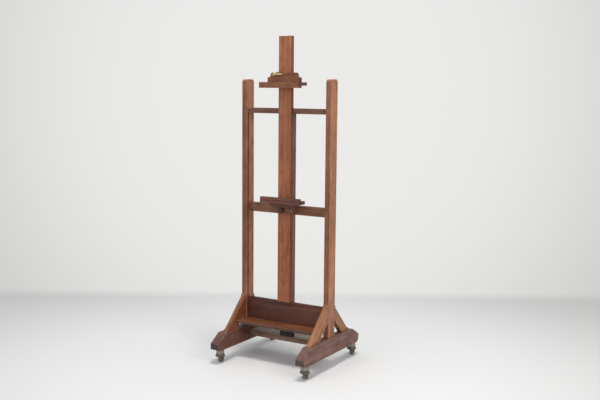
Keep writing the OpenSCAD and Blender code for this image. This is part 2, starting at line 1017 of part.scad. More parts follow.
module tray_board() {
  color(oak)
    difference() {
      box([-tray_w / 2, tray_w / 2], [tray_front, carrier_back], [tray_low, tray_top]);
      box(
        [-tray_w / 2 - CUT, tray_w / 2 + CUT],
        [tray_front - CUT, tray_front + tray_lip_t + glue_gap],
        [tray_top - let_in, tray_top + CUT]
      );
      mast_notch([tray_low, tray_top]);
      tray_screw_set(glue_gap);
    }
}

module tray_lip() {
  color(pale_oak)
    difference() {
      box(
        [-tray_w / 2, tray_w / 2],
        [tray_front, tray_front + tray_lip_t],
        [tray_top - let_in, tray_top + tray_lip_h]
      );
      tray_screw_set(glue_gap);
    }
}

module tray_bracket() {
  top = bracket_top_w / 2;
  low = bracket_low_w / 2;
  color(oak)
    difference() {
      along_y([carrier_front, carrier_back])
        polygon([
          [-low, tray_low - bracket_h], [low, tray_low - bracket_h],
          [top, tray_low], [-top, tray_low]
        ]);
      mast_notch([tray_low - bracket_h, tray_low]);
      runner_pair(tray_runner_span, glue_gap);
      bar_y(0, tray_lock_z, [carrier_front - CUT, carrier_notch + CUT], insert_r + glue_gap);
      tray_screw_set(glue_gap);
    }
}

module tray_runners() {
  color(dowel_wood)
    runner_pair(tray_runner_span);
}

module tray_screw_set(gap = 0) {
  for (side = [LEFT, RIGHT])
    translate([side * bracket_screw_x, block_screw_y, tray_top])
      wood_screw(bracket_screw_len, gap);
  for (x = tray_screw_xs)
    translate([x, tray_lip_screw_y, tray_low])
      rotate([180, 0, 0])
        wood_screw(tray_lip_screw_len, gap);
}

module tray_screws() {
  color(brass)
    tray_screw_set();
}

module tray_insert() {
  insert(tray_lock_z, [carrier_front, carrier_front + insert_len]);
}

tray_knob_y = carrier_front - knob_gap;
tray_tip_y = mast_front - key_gap;

module tray_lock_knob() {
  color(knob_brown)
    translate([0, tray_knob_y, tray_lock_z])
      rotate([0, 0, 180])
        knob_body();
}

module tray_lock_stud() {
  color(steel)
    bar_y(0, tray_lock_z, [tray_knob_y - knob_seat, tray_tip_y], stud_r);
}

// ---- Castors ----

// Places what is drawn round the pivot at the castor's foot.
module at_castor(side, end) {
  translate([side * foot_mid, end == FRONT ? front_castor_y : rear_castor_y, 0])
    children();
}

module castor_socket(side, end) {
  bore_r = stem_r + run_gap;
  color(steel)
    at_castor(side, end)
      difference() {
        union() {
          translate([0, 0, castor_h - flange_t])
            cylinder(r = flange_r, h = flange_t);
          translate([0, 0, castor_h - CUT])
            cylinder(r = bore_r + socket_wall, h = socket_len + CUT);
        }
        translate([0, 0, castor_h - flange_t - CUT])
          cylinder(r = bore_r, h = flange_t + CUT + stem_len + stem_room);
      }
}

module castor_stem(side, end) {
  head_top = hood_top - hood_t - glue_gap;
  color(steel)
    at_castor(side, end) {
      translate([0, 0, head_top - stem_head_t])
        cylinder(r = stem_head_r, h = stem_head_t);
      translate([0, 0, head_top - stem_head_t])
        cylinder(r = stem_r, h = castor_h + stem_len - head_top + stem_head_t);
    }
}

// Radius of the hood's outside at a share of the way from its neck to its rim.
function hood_at(t) = neck_r + (hood_r - neck_r) * (1 - cos(90 * t));

module hood_profile() {
  steps = 10;
  flare = [for (i = [0 : steps]) [hood_at(i / steps), neck_low - i / steps * (neck_low - hood_low)]];
  polygon(concat(
    [[0, hood_top - hood_t], [0, hood_top], [neck_r, hood_top]],
    flare,
    [for (i = [0 : steps]) [flare[steps - i][0] - hood_t, flare[steps - i][1]]],
    [[neck_r - hood_t, hood_top - hood_t]]
  ));
}

module cheek_outline() {
  pad_r = axle_r + axle_pad;
  polygon([
    [-cheek_half, cheek_top],
    [cheek_half, cheek_top],
    [trail + pad_r, wheel_r],
    [trail - pad_r, wheel_r]
  ]);
  translate([trail, wheel_r])
    circle(r = pad_r);
}

module castor_horn(side, end) {
  color(steel)
    at_castor(side, end)
      difference() {
        union() {
          rotate_extrude()
            hood_profile();
          along_x([cheek_in, cheek_out])
            cheek_outline();
          along_x([-cheek_out, -cheek_in])
            cheek_outline();
        }
        translate([0, 0, hood_top - hood_t - CUT])
          cylinder(r = stem_r + run_gap, h = hood_t + 2 * CUT);
        bar_x([0, trail, wheel_r], axle_r + run_gap, 2 * (cheek_out + CUT));
      }
}

module castor_axle(side, end) {
  color(steel)
    at_castor(side, end) {
      bar_x([0, trail, wheel_r], axle_r, 2 * (cheek_out + axle_head_t));
      for (x = [-1, 1])
        bar_x([x * (cheek_out + axle_head_t / 2 + glue_gap), trail, wheel_r],
              axle_head_r, axle_head_t);
    }
}

module castor_wheel(side, end) {
  half = wheel_w / 2;
  crown = 1;
  dish = 2;
  hub_ring = 8;
  hub_half = half + crown;
  rim_in = wheel_r - 3;
  color(wheel_grey)
    at_castor(side, end)
      translate([0, trail, wheel_r])
        rotate([0, 90, 0])
          rotate_extrude()
            polygon([
              [axle_r + run_gap, -hub_half],
              [hub_ring, -hub_half],
              [hub_ring + 1, dish - half],
              [rim_in - 1, dish - half],
              [rim_in, -half],
              [wheel_r - crown, crown - half],
              [wheel_r, -half / 3],
              [wheel_r, half / 3],
              [wheel_r - crown, half - crown],
              [rim_in, half],
              [rim_in - 1, half - dish],
              [hub_ring + 1, half - dish],
              [hub_ring, hub_half],
              [axle_r + run_gap, hub_half]
            ]);
}

sledge(LEFT);  // left_sledge
sledge(RIGHT);  // right_sledge
post(LEFT);  // left_post
post(RIGHT);  // right_post
brace(LEFT, FRONT);  // left_front_brace
brace(LEFT, REAR);  // left_rear_brace
brace(RIGHT, FRONT);  // right_front_brace
brace(RIGHT, REAR);  // right_rear_brace
top_rail();
mid_rail();
bottom_board();
centre_post();
backboard();
shelf();
mast_key();
mast_lock_insert();
brace_dowels();
shelf_dowels();
key_screws();
mast();
mast_lock_stud();
mast_lock_knob();
clamp_block();
clamp_ledge();
clamp_lip();
clamp_runners();
clamp_screws();
clamp_cam();
clamp_lever();
tray_board();
tray_lip();
tray_bracket();
tray_runners();
tray_screws();
tray_insert();
tray_lock_stud();
tray_lock_knob();
castor_socket(LEFT, FRONT);  // front_left_castor_socket
castor_stem(LEFT, FRONT);  // front_left_castor_stem
castor_horn(LEFT, FRONT);  // front_left_castor_horn
castor_axle(LEFT, FRONT);  // front_left_castor_axle
castor_wheel(LEFT, FRONT);  // front_left_castor_wheel
castor_socket(RIGHT, FRONT);  // front_right_castor_socket
castor_stem(RIGHT, FRONT);  // front_right_castor_stem
castor_horn(RIGHT, FRONT);  // front_right_castor_horn
castor_axle(RIGHT, FRONT);  // front_right_castor_axle
castor_wheel(RIGHT, FRONT);  // front_right_castor_wheel
castor_socket(LEFT, REAR);  // rear_left_castor_socket
castor_stem(LEFT, REAR);  // rear_left_castor_stem
castor_horn(LEFT, REAR);  // rear_left_castor_horn
castor_axle(LEFT, REAR);  // rear_left_castor_axle
castor_wheel(LEFT, REAR);  // rear_left_castor_wheel
castor_socket(RIGHT, REAR);  // rear_right_castor_socket
castor_stem(RIGHT, REAR);  // rear_right_castor_stem
castor_horn(RIGHT, REAR);  // rear_right_castor_horn
castor_axle(RIGHT, REAR);  // rear_right_castor_axle
castor_wheel(RIGHT, REAR);  // rear_right_castor_wheel
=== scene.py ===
"""Looks of the wooden studio easel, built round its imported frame.

Every wooden board is a softened copy of its CAD solid with its own oak finish, the small
hardware is modelled in more detail, and the studio has a pale floor and soft light.
"""

import logging
import math
from dataclasses import dataclass, field
from enum import Enum
from typing import Sequence

import bmesh
import bpy
from mathutils import Euler, Matrix, Vector


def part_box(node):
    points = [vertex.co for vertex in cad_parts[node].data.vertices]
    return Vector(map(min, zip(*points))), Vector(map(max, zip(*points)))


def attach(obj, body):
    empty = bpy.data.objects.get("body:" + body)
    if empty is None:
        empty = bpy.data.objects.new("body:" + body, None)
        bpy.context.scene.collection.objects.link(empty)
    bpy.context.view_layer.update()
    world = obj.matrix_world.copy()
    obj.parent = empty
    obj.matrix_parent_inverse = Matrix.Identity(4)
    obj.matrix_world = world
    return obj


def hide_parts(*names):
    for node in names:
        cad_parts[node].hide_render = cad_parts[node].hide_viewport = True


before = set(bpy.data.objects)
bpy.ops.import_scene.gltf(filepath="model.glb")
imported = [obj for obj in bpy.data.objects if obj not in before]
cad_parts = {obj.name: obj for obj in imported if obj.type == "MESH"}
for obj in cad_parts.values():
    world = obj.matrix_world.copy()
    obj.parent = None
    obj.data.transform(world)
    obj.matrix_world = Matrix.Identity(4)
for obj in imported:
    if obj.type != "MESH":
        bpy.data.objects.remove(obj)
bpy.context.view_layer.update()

LOG = logging.getLogger("easel")
MM = 0.001
WEAR = "edge_wear"
RING_SCALE = 0.314
ON_AXIS = 0.001 * MM
Rgb = tuple[float, float, float]
Point = tuple[float, float, float]
Span = tuple[float, float]
Socket = bpy.types.NodeSocket
Node = bpy.types.Node
Material = bpy.types.Material
Piece = bpy.types.Object
BMesh = bmesh.types.BMesh


class Grain(Enum):
    """Direction in which a board's fibres run, as the turn that brings it onto Z."""

    ALONG_X = (0.0, -90.0, 0.0)
    ALONG_Y = (90.0, 0.0, 0.0)
    ALONG_Z = (0.0, 0.0, 0.0)
    UP_TO_BACK = (45.0, 0.0, 0.0)
    UP_TO_FRONT = (-44.0, 0.0, 0.0)


class Side(Enum):
    """Left or right of the easel, seen from the front."""

    LEFT = "left"
    RIGHT = "right"


class End(Enum):
    """Front or rear end of a foot."""

    FRONT = "front"
    REAR = "rear"


# ---- Shader graphs ----


class Graph:
    """Adds nodes to one tree and joins them."""

    def __init__(self, tree: bpy.types.NodeTree) -> None:
        """Starts with an empty tree.

        Args:
            tree: The shader or geometry tree to fill.
        """
        self.tree = tree
        tree.nodes.clear()

    def add(self, kind: str, sockets: dict | None = None, **settings: object) -> Node:
        """Adds a node.

        Args:
            kind: The node's type name.
            sockets: Input name or index to a value, or to the output that feeds it.
            **settings: The node's own properties.

        Returns:
            The new node.
        """
        node = self.tree.nodes.new(kind)
        for key, value in settings.items():
            setattr(node, key, value)
        for key, value in (sockets or {}).items():
            self.feed(node.inputs[key], value)
        return node

    def feed(self, socket: Socket, value: object) -> None:
        """Joins an output to a socket, or sets the socket's own value.

        Args:
            socket: The input socket.
            value: An output socket or a plain value.
        """
        if isinstance(value, Socket):
            self.tree.links.new(value, socket)
        else:
            socket.default_value = value

    def math(self, how: str, a: object, b: object = 0.0, clamp: bool = False) -> Socket:
        """Adds a Math node.

        Args:
            how: The operation.
            a: First value or output.
            b: Second value or output.
            clamp: Whether the result stays between 0 and 1.

        Returns:
            The result's output.
        """
        return self.add("ShaderNodeMath", {0: a, 1: b}, operation=how, use_clamp=clamp).outputs[0]

    def vectors(self, how: str, a: object, b: object = (0.0, 0.0, 0.0)) -> Socket:
        """Adds a Vector Math node.

        Args:
            how: The operation.
            a: First vector or output.
            b: Second vector or output.

        Returns:
            The result's output: a number for DOT_PRODUCT and LENGTH, else a vector.
        """
        node = self.add("ShaderNodeVectorMath", {0: a, 1: b}, operation=how)
        return node.outputs["Value" if how in ("DOT_PRODUCT", "LENGTH") else "Vector"]

    def coordinates(self, kind: str = "Object") -> Socket:
        """Adds a Texture Coordinate node and returns one of its outputs."""
        return self.add("ShaderNodeTexCoord").outputs[kind]

    def height(self) -> Socket:
        """Adds the height above the floor, in metres."""
        return self.add("ShaderNodeSeparateXYZ", {0: self.coordinates()}).outputs["Z"]

    def worn_edges(self) -> Socket:
        """Adds the attribute that marks the softened edges."""
        return self.add("ShaderNodeAttribute", attribute_name=WEAR).outputs["Fac"]

    def bump(self, shader: Node, height: object, strength: float, distance: float) -> None:
        """Feeds a shader's normal from a height.

        Args:
            shader: The Principled shader.
            height: The height's output.
            strength: Strength of the relief.
            distance: Depth of the relief, in metres.
        """
        node = self.add("ShaderNodeBump", {"Height": height, "Strength": strength,
                                           "Distance": distance})
        self.feed(shader.inputs["Normal"], node.outputs["Normal"])

    def span(self, value: object, low: float, high: float, to_low: float = 0.0,
             to_high: float = 1.0) -> Socket:
        """Maps a range onto another, smoothly and clamped.

        Args:
            value: The value or output to map.
            low: Start of the range.
            high: End of the range.
            to_low: Result at the start.
            to_high: Result at the end.

        Returns:
            The result's output.
        """
        sockets = {"Value": value, "From Min": low, "From Max": high, "To Min": to_low,
                   "To Max": to_high}
        node = self.add("ShaderNodeMapRange", sockets, interpolation_type="SMOOTHSTEP")
        return node.outputs["Result"]

    def sway(self, total: object, value: object, weight: float, clamp: bool = False) -> Socket:
        """Adds a noise's swing about its middle to a sum.

        Args:
            total: The sum so far.
            value: The noise, about 0.5 on average.
            weight: How much the swing counts.
            clamp: Whether the result stays between 0 and 1.

        Returns:
            The new sum.
        """
        swing = self.math("MULTIPLY", self.math("SUBTRACT", value, 0.5), weight)
        return self.math("ADD", total, swing, clamp)

    def blend(self, share: object, a: object, b: object, how: str = "MIX") -> Socket:
        """Mixes two colours.

        Args:
            share: How much of the second colour shows.
            a: First colour or output.
            b: Second colour or output.
            how: The blend type.

        Returns:
            The mixed colour's output.
        """
        node = self.add("ShaderNodeMix", {0: share}, data_type="RGBA", blend_type=how)
        self.feed(node.inputs[6], a if isinstance(a, Socket) else (*a, 1.0))
        self.feed(node.inputs[7], b if isinstance(b, Socket) else (*b, 1.0))
        return node.outputs[2]

    def stretched_noise(self, vector: object, scale: Point, detail: float = 2.0,
                        rough: float = 0.5) -> Socket:
        """Adds noise with its own scale along each axis.

        Args:
            vector: The coordinates' output.
            scale: Features per metre along X, Y and Z.
            detail: Octaves of finer noise.
            rough: Strength of the finer octaves.

        Returns:
            The noise's value, about 0.5 on average.
        """
        wide = self.vectors("MULTIPLY", vector, scale)
        sockets = {"Vector": wide, "Scale": 1.0, "Detail": detail, "Roughness": rough}
        return self.add("ShaderNodeTexNoise", sockets).outputs["Fac"]


def new_material(name: str) -> tuple[Material, Graph, Node]:
    """Makes an empty node material.

    Args:
        name: The material's name.

    Returns:
        The material, its graph and its Principled shader.
    """
    material = bpy.data.materials.new(name)
    material.use_nodes = True
    graph = Graph(material.node_tree)
    shader = graph.add("ShaderNodeBsdfPrincipled")
    graph.add("ShaderNodeOutputMaterial", {"Surface": shader.outputs["BSDF"]})
    return material, graph, shader


def darker(colour: Rgb, share: float) -> Rgb:
    """Scales a colour down."""
    return tuple(share * c for c in colour)


@dataclass(frozen=True)
class FaceShadeAndTone:
    """Tones faces that look one way: painted shade and light, and plain tones on some ends and
    tops.

    The tint shows on both opposite faces, or on the named one alone. It can end at a height,
    and its spread says how closely a face has to look that way.
    """

    facing: Point
    tone: Rgb
    both: bool = True
    below: float | None = None
    spread: Span = (0.5, 0.9)


@dataclass(frozen=True)
class WoodFinish:
    """Waxed oak: growth rings, fibres, pores, blotches, rubbed edges, grime and painted face
    shade.
    """

    name: str
    dark: Rgb
    light: Rgb
    grain: Grain = Grain.ALONG_Z
    shade_and_tones: tuple[FaceShadeAndTone, ...] = ()
    pith: Span = (0.31, 0.17)
    ring_gap: float = 7 * MM
    streaks: float = 1.21
    rings: float = 0.30
    fibres: float = 0.75
    blotches: float = 1.10
    figure: float = 1.20
    rubbed: Rgb = (0.36, 0.19, 0.115)
    grime: float = 0.25
    rough: Span = (0.42, 0.62)
    coat: float = 0.03

    def build(self) -> Material:
        """Makes the material.

        Returns:
            The oak material.
        """
        material, g, shader = new_material(self.name)
        place = g.coordinates()
        turn = tuple(math.radians(angle) for angle in self.grain.value)
        sockets = {"Vector": place, "Rotation": turn, "Location": (*self.pith, 0.0)}
        along = g.add("ShaderNodeMapping", sockets).outputs["Vector"]
        swept = self._wander(g, along, (5.0, 5.0, 0.7), 50 * MM)
        bent = self._wander(g, swept, (38.0, 38.0, 3.0), 4 * MM)
        rings = g.add("ShaderNodeTexWave", {"Vector": bent, "Scale": RING_SCALE / self.ring_gap},
                      wave_type="RINGS", rings_direction="Z", wave_profile="SAW").outputs["Fac"]
        streak = g.stretched_noise(bent, (46.0, 46.0, 1.9), 3.0, 0.6)
        fibre = g.stretched_noise(bent, (300.0, 300.0, 9.0), 3.0, 0.65)
        pores = g.span(g.stretched_noise(bent, (800.0, 800.0, 26.0), 1.0), 0.60, 0.74)
        blotch = g.stretched_noise(along, (6.5, 6.5, 2.2), 2.0)
        figure = g.stretched_noise(bent, (30.0, 30.0, 15.0), 3.0, 0.65)

        tone: object = 0.5
        for noise, weight in ((streak, self.streaks), (rings, self.rings), (fibre, self.fibres),
                              (blotch, self.blotches), (figure, self.figure)):
            tone = g.sway(tone, noise, weight)
        colour = g.blend(tone, self.dark, self.light)
        colour = g.blend(g.math("MULTIPLY", pores, 0.45), colour, darker(self.dark, 0.35))

        scuff = g.span(g.stretched_noise(place, (34.0, 34.0, 34.0), 3.0, 0.7), 0.40, 0.62)
        rubbed = g.math("MULTIPLY", g.worn_edges(), g.math("MULTIPLY", scuff, 0.75))
        colour = g.blend(rubbed, colour, self.rubbed)
        dirt = g.span(g.stretched_noise(place, (11.0, 11.0, 7.0), 4.0, 0.7), 0.52, 0.74)
        colour = g.blend(g.math("MULTIPLY", dirt, self.grime), colour, darker(self.dark, 0.42))
        # Face tones: painted shade and painted light on sides and tops, plain tones on some ends.
        for tint in self.shade_and_tones:
            colour = self._shade_and_tone_faces(g, colour, tint)
        g.feed(shader.inputs["Base Color"], colour)

        dull = g.math("ADD", g.math("MULTIPLY", fibre, 0.6), g.math("MULTIPLY", dirt, 0.4))
        g.feed(shader.inputs["Roughness"], g.span(dull, 0.2, 0.8, *self.rough))
        shader.inputs["Coat Weight"].default_value = self.coat
        shader.inputs["Coat Roughness"].default_value = 0.35
        shader.inputs["Specular IOR Level"].default_value = 0.22
        height = g.math("ADD", fibre, g.math("MULTIPLY", rings, 0.35))
        height = g.math("SUBTRACT", height, g.math("MULTIPLY", pores, 0.8))
        height = g.math("ADD", height, g.math("MULTIPLY", scuff, 0.35))
        g.bump(shader, height, 0.45, 0.35 * MM)
        return material

    def _wander(self, g: Graph, vector: object, scale: Point, reach: float) -> Socket:
        """Bends straight grain sideways by a slow noise.

        Args:
            g: The material's graph.
            vector: The coordinates' output.
            scale: Features per metre along each axis.
            reach: How far the grain bends, in metres.

        Returns:
            The bent coordinates.
        """
        sockets = {"Vector": g.vectors("MULTIPLY", vector, scale), "Scale": 1.0, "Detail": 1.0}
        noise = g.add("ShaderNodeTexNoise", sockets).outputs["Color"]
        centred = g.vectors("SUBTRACT", noise, (0.5, 0.5, 0.5))
        return g.vectors("ADD", vector, g.vectors("MULTIPLY", centred, (reach, reach, 0.0)))

    def _shade_and_tone_faces(self, g: Graph, colour: Socket, tint: FaceShadeAndTone) -> Socket:
        """Multiplies the colour of faces that look one way, for painted shade and light and plain
        tones.

        Args:
            g: The material's graph.
            colour: The wood's colour so far.
            tint: The direction and the tone.

        Returns:
            The tinted colour.
        """
        towards = g.vectors("DOT_PRODUCT", g.coordinates("Normal"), tint.facing)
        if tint.both:
            towards = g.math("ABSOLUTE", towards)
        share = g.span(towards, *tint.spread)
        if tint.below is not None:
            under = g.span(g.height(), tint.below - 6 * MM, tint.below, 1.0, 0.0)
            share = g.math("MULTIPLY", share, under)
        return g.blend(share, colour, g.blend(1.0, colour, tint.tone, "MULTIPLY"))


@dataclass(frozen=True)
class MetalFinish:
    """Worn metal: tarnish in patches, bright rubbed edges, fine scratches, and a colour darker low
    down.
    """

    name: str
    bright: Rgb
    tarnish: Rgb
    metallic: float = 1.0
    rough: Span = (0.28, 0.55)
    tarnished: float = 0.55
    darker_below: float | None = None

    def build(self) -> Material:
        """Makes the material.

        Returns:
            The metal material.
        """
        material, g, shader = new_material(self.name)
        place = g.coordinates()
        patches = g.stretched_noise(place, (120.0, 120.0, 120.0), 5.0, 0.65)
        scratch = g.stretched_noise(place, (900.0, 160.0, 900.0), 2.0, 0.6)
        dull = g.math("MULTIPLY", g.span(patches, 0.36, 0.66), self.tarnished)
        dull = g.math("SUBTRACT", dull, g.math("MULTIPLY", g.worn_edges(), 0.5), clamp=True)
        dull = g.sway(dull, scratch, 0.3, clamp=True)
        colour = g.blend(dull, self.bright, self.tarnish)
        # Below the given height the colour turns darker towards the bottom.
        if self.darker_below is not None:
            low = g.span(g.height(), self.darker_below - 10 * MM, self.darker_below, 0.8, 0.0)
            colour = g.blend(low, colour, darker(self.tarnish, 0.7))
        g.feed(shader.inputs["Base Color"], colour)
        g.feed(shader.inputs["Roughness"], g.span(dull, 0.0, 0.8, *self.rough))
        shader.inputs["Metallic"].default_value = self.metallic
        g.bump(shader, g.math("ADD", scratch, patches), 0.25, 0.12 * MM)
        return material


@dataclass(frozen=True)
class WheelFinish:
    """Hard grey castor wheel, dusty and scuffed."""

    name: str
    clean: Rgb
    dusty: Rgb

    def build(self) -> Material:
        """Makes the material.

        Returns:
            The wheel's material.
        """
        material, g, shader = new_material(self.name)
        place = g.coordinates()
        mottle = g.stretched_noise(place, (60.0, 60.0, 60.0), 4.0, 0.6)
        grit = g.stretched_noise(place, (900.0, 900.0, 900.0), 2.0, 0.6)
        dust = g.span(g.math("ADD", mottle, g.math("MULTIPLY", grit, 0.25)), 0.42, 0.80)
        g.feed(shader.inputs["Base Color"], g.blend(dust, self.clean, self.dusty))
        g.feed(shader.inputs["Roughness"], g.span(dust, 0.0, 1.0, 0.45, 0.75))
        g.bump(shader, grit, 0.3, 0.15 * MM)
        return material


SIDES: Point = (1.0, 0.0, 0.0)
ENDS_Y: Point = (0.0, 1.0, 0.0)
FRONT_FACE: Point = (0.0, -1.0, 0.0)
TOP: Point = (0.0, 0.0, 1.0)
RIGHT_CHAMFER: Point = (0.707, -0.5, 0.5)
LEFT_CHAMFER: Point = (-0.707, -0.5, 0.5)
CLOSELY: Span = (0.85, 0.97)

FEET_OAK = WoodFinish("feet_oak", (0.113, 0.051, 0.039), (0.243, 0.128, 0.101), Grain.ALONG_Y,
                      (FaceShadeAndTone(ENDS_Y, (0.55, 0.72, 0.85)), FaceShadeAndTone(TOP, (0.85, 0.95, 1.0))),
                      rubbed=(0.28, 0.18, 0.14), grime=0.40, rough=(0.5, 0.7))
LEFT_FOOT_OAK = WoodFinish("left_foot_oak", (0.082, 0.029, 0.017), (0.177, 0.072, 0.045),
                           Grain.ALONG_Y, (FaceShadeAndTone(ENDS_Y, (0.45, 0.75, 1.05)),
                                           FaceShadeAndTone(TOP, (0.95, 1.15, 1.30))),
                           rubbed=(0.24, 0.14, 0.10), grime=0.40, rough=(0.5, 0.7))
# Bottom board: the top face is painted lighter, painted light from above and behind.
STRETCHER_OAK = WoodFinish("stretcher_oak", (0.120, 0.062, 0.040), (0.270, 0.170, 0.120),
                           Grain.ALONG_X, (FaceShadeAndTone(TOP, (1.3, 1.7, 2.0), False),),
                           grime=0.35, rough=(0.5, 0.7))
# Posts: the front faces are darkened, painted shade for a light that falls from the right.
POST_OAK = WoodFinish("post_oak", (0.197, 0.070, 0.033), (0.499, 0.221, 0.117), Grain.ALONG_Z,
                      (FaceShadeAndTone(FRONT_FACE, (0.56, 0.53, 0.54), False),), pith=(0.27, 0.13))
RAIL_OAK = WoodFinish("rail_oak", (0.117, 0.046, 0.024), (0.293, 0.132, 0.074), Grain.ALONG_X)
TOP_RAIL_OAK = WoodFinish("top_rail_oak", (0.090, 0.035, 0.023), (0.225, 0.101, 0.068),
                          Grain.ALONG_X)
# Centre post: front and sides are painted near black below 215 mm, painted shadow under the shelf.
GUIDE_OAK = WoodFinish("guide_oak", (0.100, 0.055, 0.040), (0.230, 0.145, 0.110), Grain.ALONG_Z,
                       (FaceShadeAndTone(FRONT_FACE, (0.13, 0.15, 0.17), False, 0.215),
                        FaceShadeAndTone(SIDES, (0.13, 0.15, 0.17), True, 0.215)), pith=(0.22, 0.19))
FRONT_BRACE_OAK = WoodFinish("front_brace_oak", (0.203, 0.083, 0.035), (0.443, 0.215, 0.106),
                             Grain.UP_TO_BACK)
# Left front brace: a copy of the front brace oak made darker as painted shade; its sides and
# chamfers carry more painted shade, the left chamfer most.
LEFT_BRACE_SHADED_OAK = WoodFinish("left_brace_shaded_oak", (0.120, 0.053, 0.025), (0.262, 0.136, 0.075),
                            Grain.UP_TO_BACK,
                            (FaceShadeAndTone(SIDES, (0.97, 0.64, 0.47)),
                             FaceShadeAndTone(RIGHT_CHAMFER, (0.80, 0.60, 0.45), False, None, CLOSELY),
                             FaceShadeAndTone(LEFT_CHAMFER, (0.50, 0.42, 0.38), False, None, CLOSELY)))
REAR_BRACE_OAK = WoodFinish("rear_brace_oak", (0.203, 0.083, 0.035), (0.443, 0.215, 0.106),
                            Grain.UP_TO_FRONT)
DARK_OAK = WoodFinish("dark_oak", (0.053, 0.018, 0.012), (0.142, 0.053, 0.032), Grain.ALONG_X,
                      rubbed=(0.25, 0.14, 0.09))
# Shelf: the front face is painted darker and greyer, painted shade.
SHELF_OAK = WoodFinish("shelf_oak", (0.080, 0.023, 0.009), (0.236, 0.087, 0.043), Grain.ALONG_X,
                       (FaceShadeAndTone(FRONT_FACE, (0.62, 1.0, 1.5), False),))
# Mast: the sides are painted darker, painted shade.
MAST_OAK = WoodFinish("mast_oak", (0.196, 0.058, 0.022), (0.432, 0.167, 0.078), Grain.ALONG_Z,
                      (FaceShadeAndTone(SIDES, (0.62, 0.46, 0.46)),), pith=(0.16, 0.31))
CLAMP_OAK = WoodFinish("clamp_oak", (0.117, 0.036, 0.013), (0.275, 0.109, 0.048), Grain.ALONG_X,
                       (FaceShadeAndTone(SIDES, (0.55, 0.56, 0.64)),))
TRAY_OAK = WoodFinish("tray_oak", (0.077, 0.025, 0.017), (0.204, 0.081, 0.055), Grain.ALONG_X,
                      (FaceShadeAndTone(SIDES, (0.65, 0.70, 0.72)),
                       FaceShadeAndTone(TOP, (0.55, 0.62, 0.60), False)),
                      rubbed=(0.15, 0.075, 0.052))
HARD_WOOD = WoodFinish("hard_wood", (0.30, 0.17, 0.085), (0.55, 0.36, 0.20), grime=0.1)
KNOB_WOOD = WoodFinish("knob_wood", (0.020, 0.011, 0.008), (0.070, 0.038, 0.026), Grain.ALONG_Y,
                       rubbed=(0.20, 0.12, 0.08), rough=(0.25, 0.4), coat=0.5)
BRASS = MetalFinish("worn_brass", (0.60, 0.45, 0.26), (0.17, 0.105, 0.06))
STEEL = MetalFinish("turned_steel", (0.45, 0.45, 0.44), (0.22, 0.20, 0.18))
CASTOR_METAL = MetalFinish("castor_metal", (0.36, 0.335, 0.30), (0.11, 0.09, 0.07), 0.55,
                           (0.40, 0.66), 0.7, 62 * MM)
COLLAR_METAL = MetalFinish("collar_metal", (0.42, 0.39, 0.35), (0.20, 0.175, 0.15), 0.6,
                           (0.40, 0.62), 0.6)
WHEEL_GREY = WheelFinish("wheel_grey", (0.109, 0.092, 0.069), (0.189, 0.163, 0.124))

Finish = WoodFinish | MetalFinish | WheelFinish


class Workshop:
    """Holds the materials that are made so far, so that boards of one finish share one."""

    made: dict[str, Material] = {}

    @classmethod
    def material(cls, finish: Finish) -> Material:
        """Returns the finish's material, made when first asked for."""
        if finish.name not in cls.made:
            cls.made[finish.name] = finish.build()
        return cls.made[finish.name]


# ---- Mesh work ----


def cad_copy(node: str) -> BMesh:
    """Copies a CAD solid and joins its loose triangles.

    Args:
        node: The CAD node's name.

    Returns:
        The merged copy, with flat faces made whole.
    """
    mesh = bmesh.new()
    mesh.from_mesh(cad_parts[node].data)
    bmesh.ops.remove_doubles(mesh, verts=mesh.verts, dist=0.002 * MM)
    bmesh.ops.dissolve_limit(mesh, angle_limit=math.radians(0.4), verts=mesh.verts,
                             edges=mesh.edges)
    return mesh


def soften(mesh: BMesh, radius: float, shortest: float) -> None:
    """Rounds the sharp outer edges and marks the rounding as worn.

    Args:
        mesh: The solid, changed in place.
        radius: Width of the rounding, in metres.
        shortest: Edges shorter than this stay sharp, in metres.
    """
    wear = mesh.loops.layers.float.new(WEAR)
    sharp = [
        edge for edge in mesh.edges
        if len(edge.link_faces) == 2 and edge.is_convex and edge.calc_length() > shortest
        and edge.calc_face_angle(0.0) > math.radians(25)
    ]
    if not sharp:
        return
    rounded = bmesh.ops.bevel(mesh, geom=sharp, offset=radius, offset_type="OFFSET", segments=2,
                              profile=0.5, affect="EDGES", clamp_overlap=True)
    for face in rounded["faces"]:
        for loop in face.loops:
            loop[wear] = 1.0


def mesh_data(mesh: BMesh, name: str) -> bpy.types.Mesh:
    """Turns a working mesh into a named data block, and frees it."""
    data = bpy.data.meshes.new(name)
    mesh.to_mesh(data)
    mesh.free()
    return data


def in_scene(name: str, data: bpy.types.ID) -> Piece:
    """Makes an object of a data block, linked to the scene."""
    piece = bpy.data.objects.new(name, data)
    bpy.context.scene.collection.objects.link(piece)
    return piece


def finish_mesh(mesh: BMesh, name: str, material: Material) -> Piece:
    """Turns mesh data into a shaded object at the origin.

    Args:
        mesh: The geometry, freed here.
        name: The piece's name.
        material: The piece's only material.

    Returns:
        The object, linked to the scene, with its normals weighted by face area.
    """
    data = mesh_data(mesh, name)
    data.materials.append(material)
    data.shade_smooth()
    data.set_sharp_from_angle(angle=math.radians(40))
    piece = in_scene(name, data)
    weighted = piece.modifiers.new("even shading", "WEIGHTED_NORMAL")
    weighted.keep_sharp = True
    return flatten(piece)


def flatten(piece: Piece) -> Piece:
    """Turns a piece's live modifiers into a plain mesh.

    Args:
        piece: The object, changed in place.

    Returns:
        The same object, with no modifiers.
    """
    graph = bpy.context.evaluated_depsgraph_get()
    done = bpy.data.meshes.new_from_object(piece.evaluated_get(graph), depsgraph=graph)
    done.name = piece.name
    piece.modifiers.clear()
    piece.data = done
    return piece


def full_turn(steps: int) -> list[float]:
    """Angles that share a full turn evenly, in radians."""
    return [2 * math.pi * i / steps for i in range(steps)]


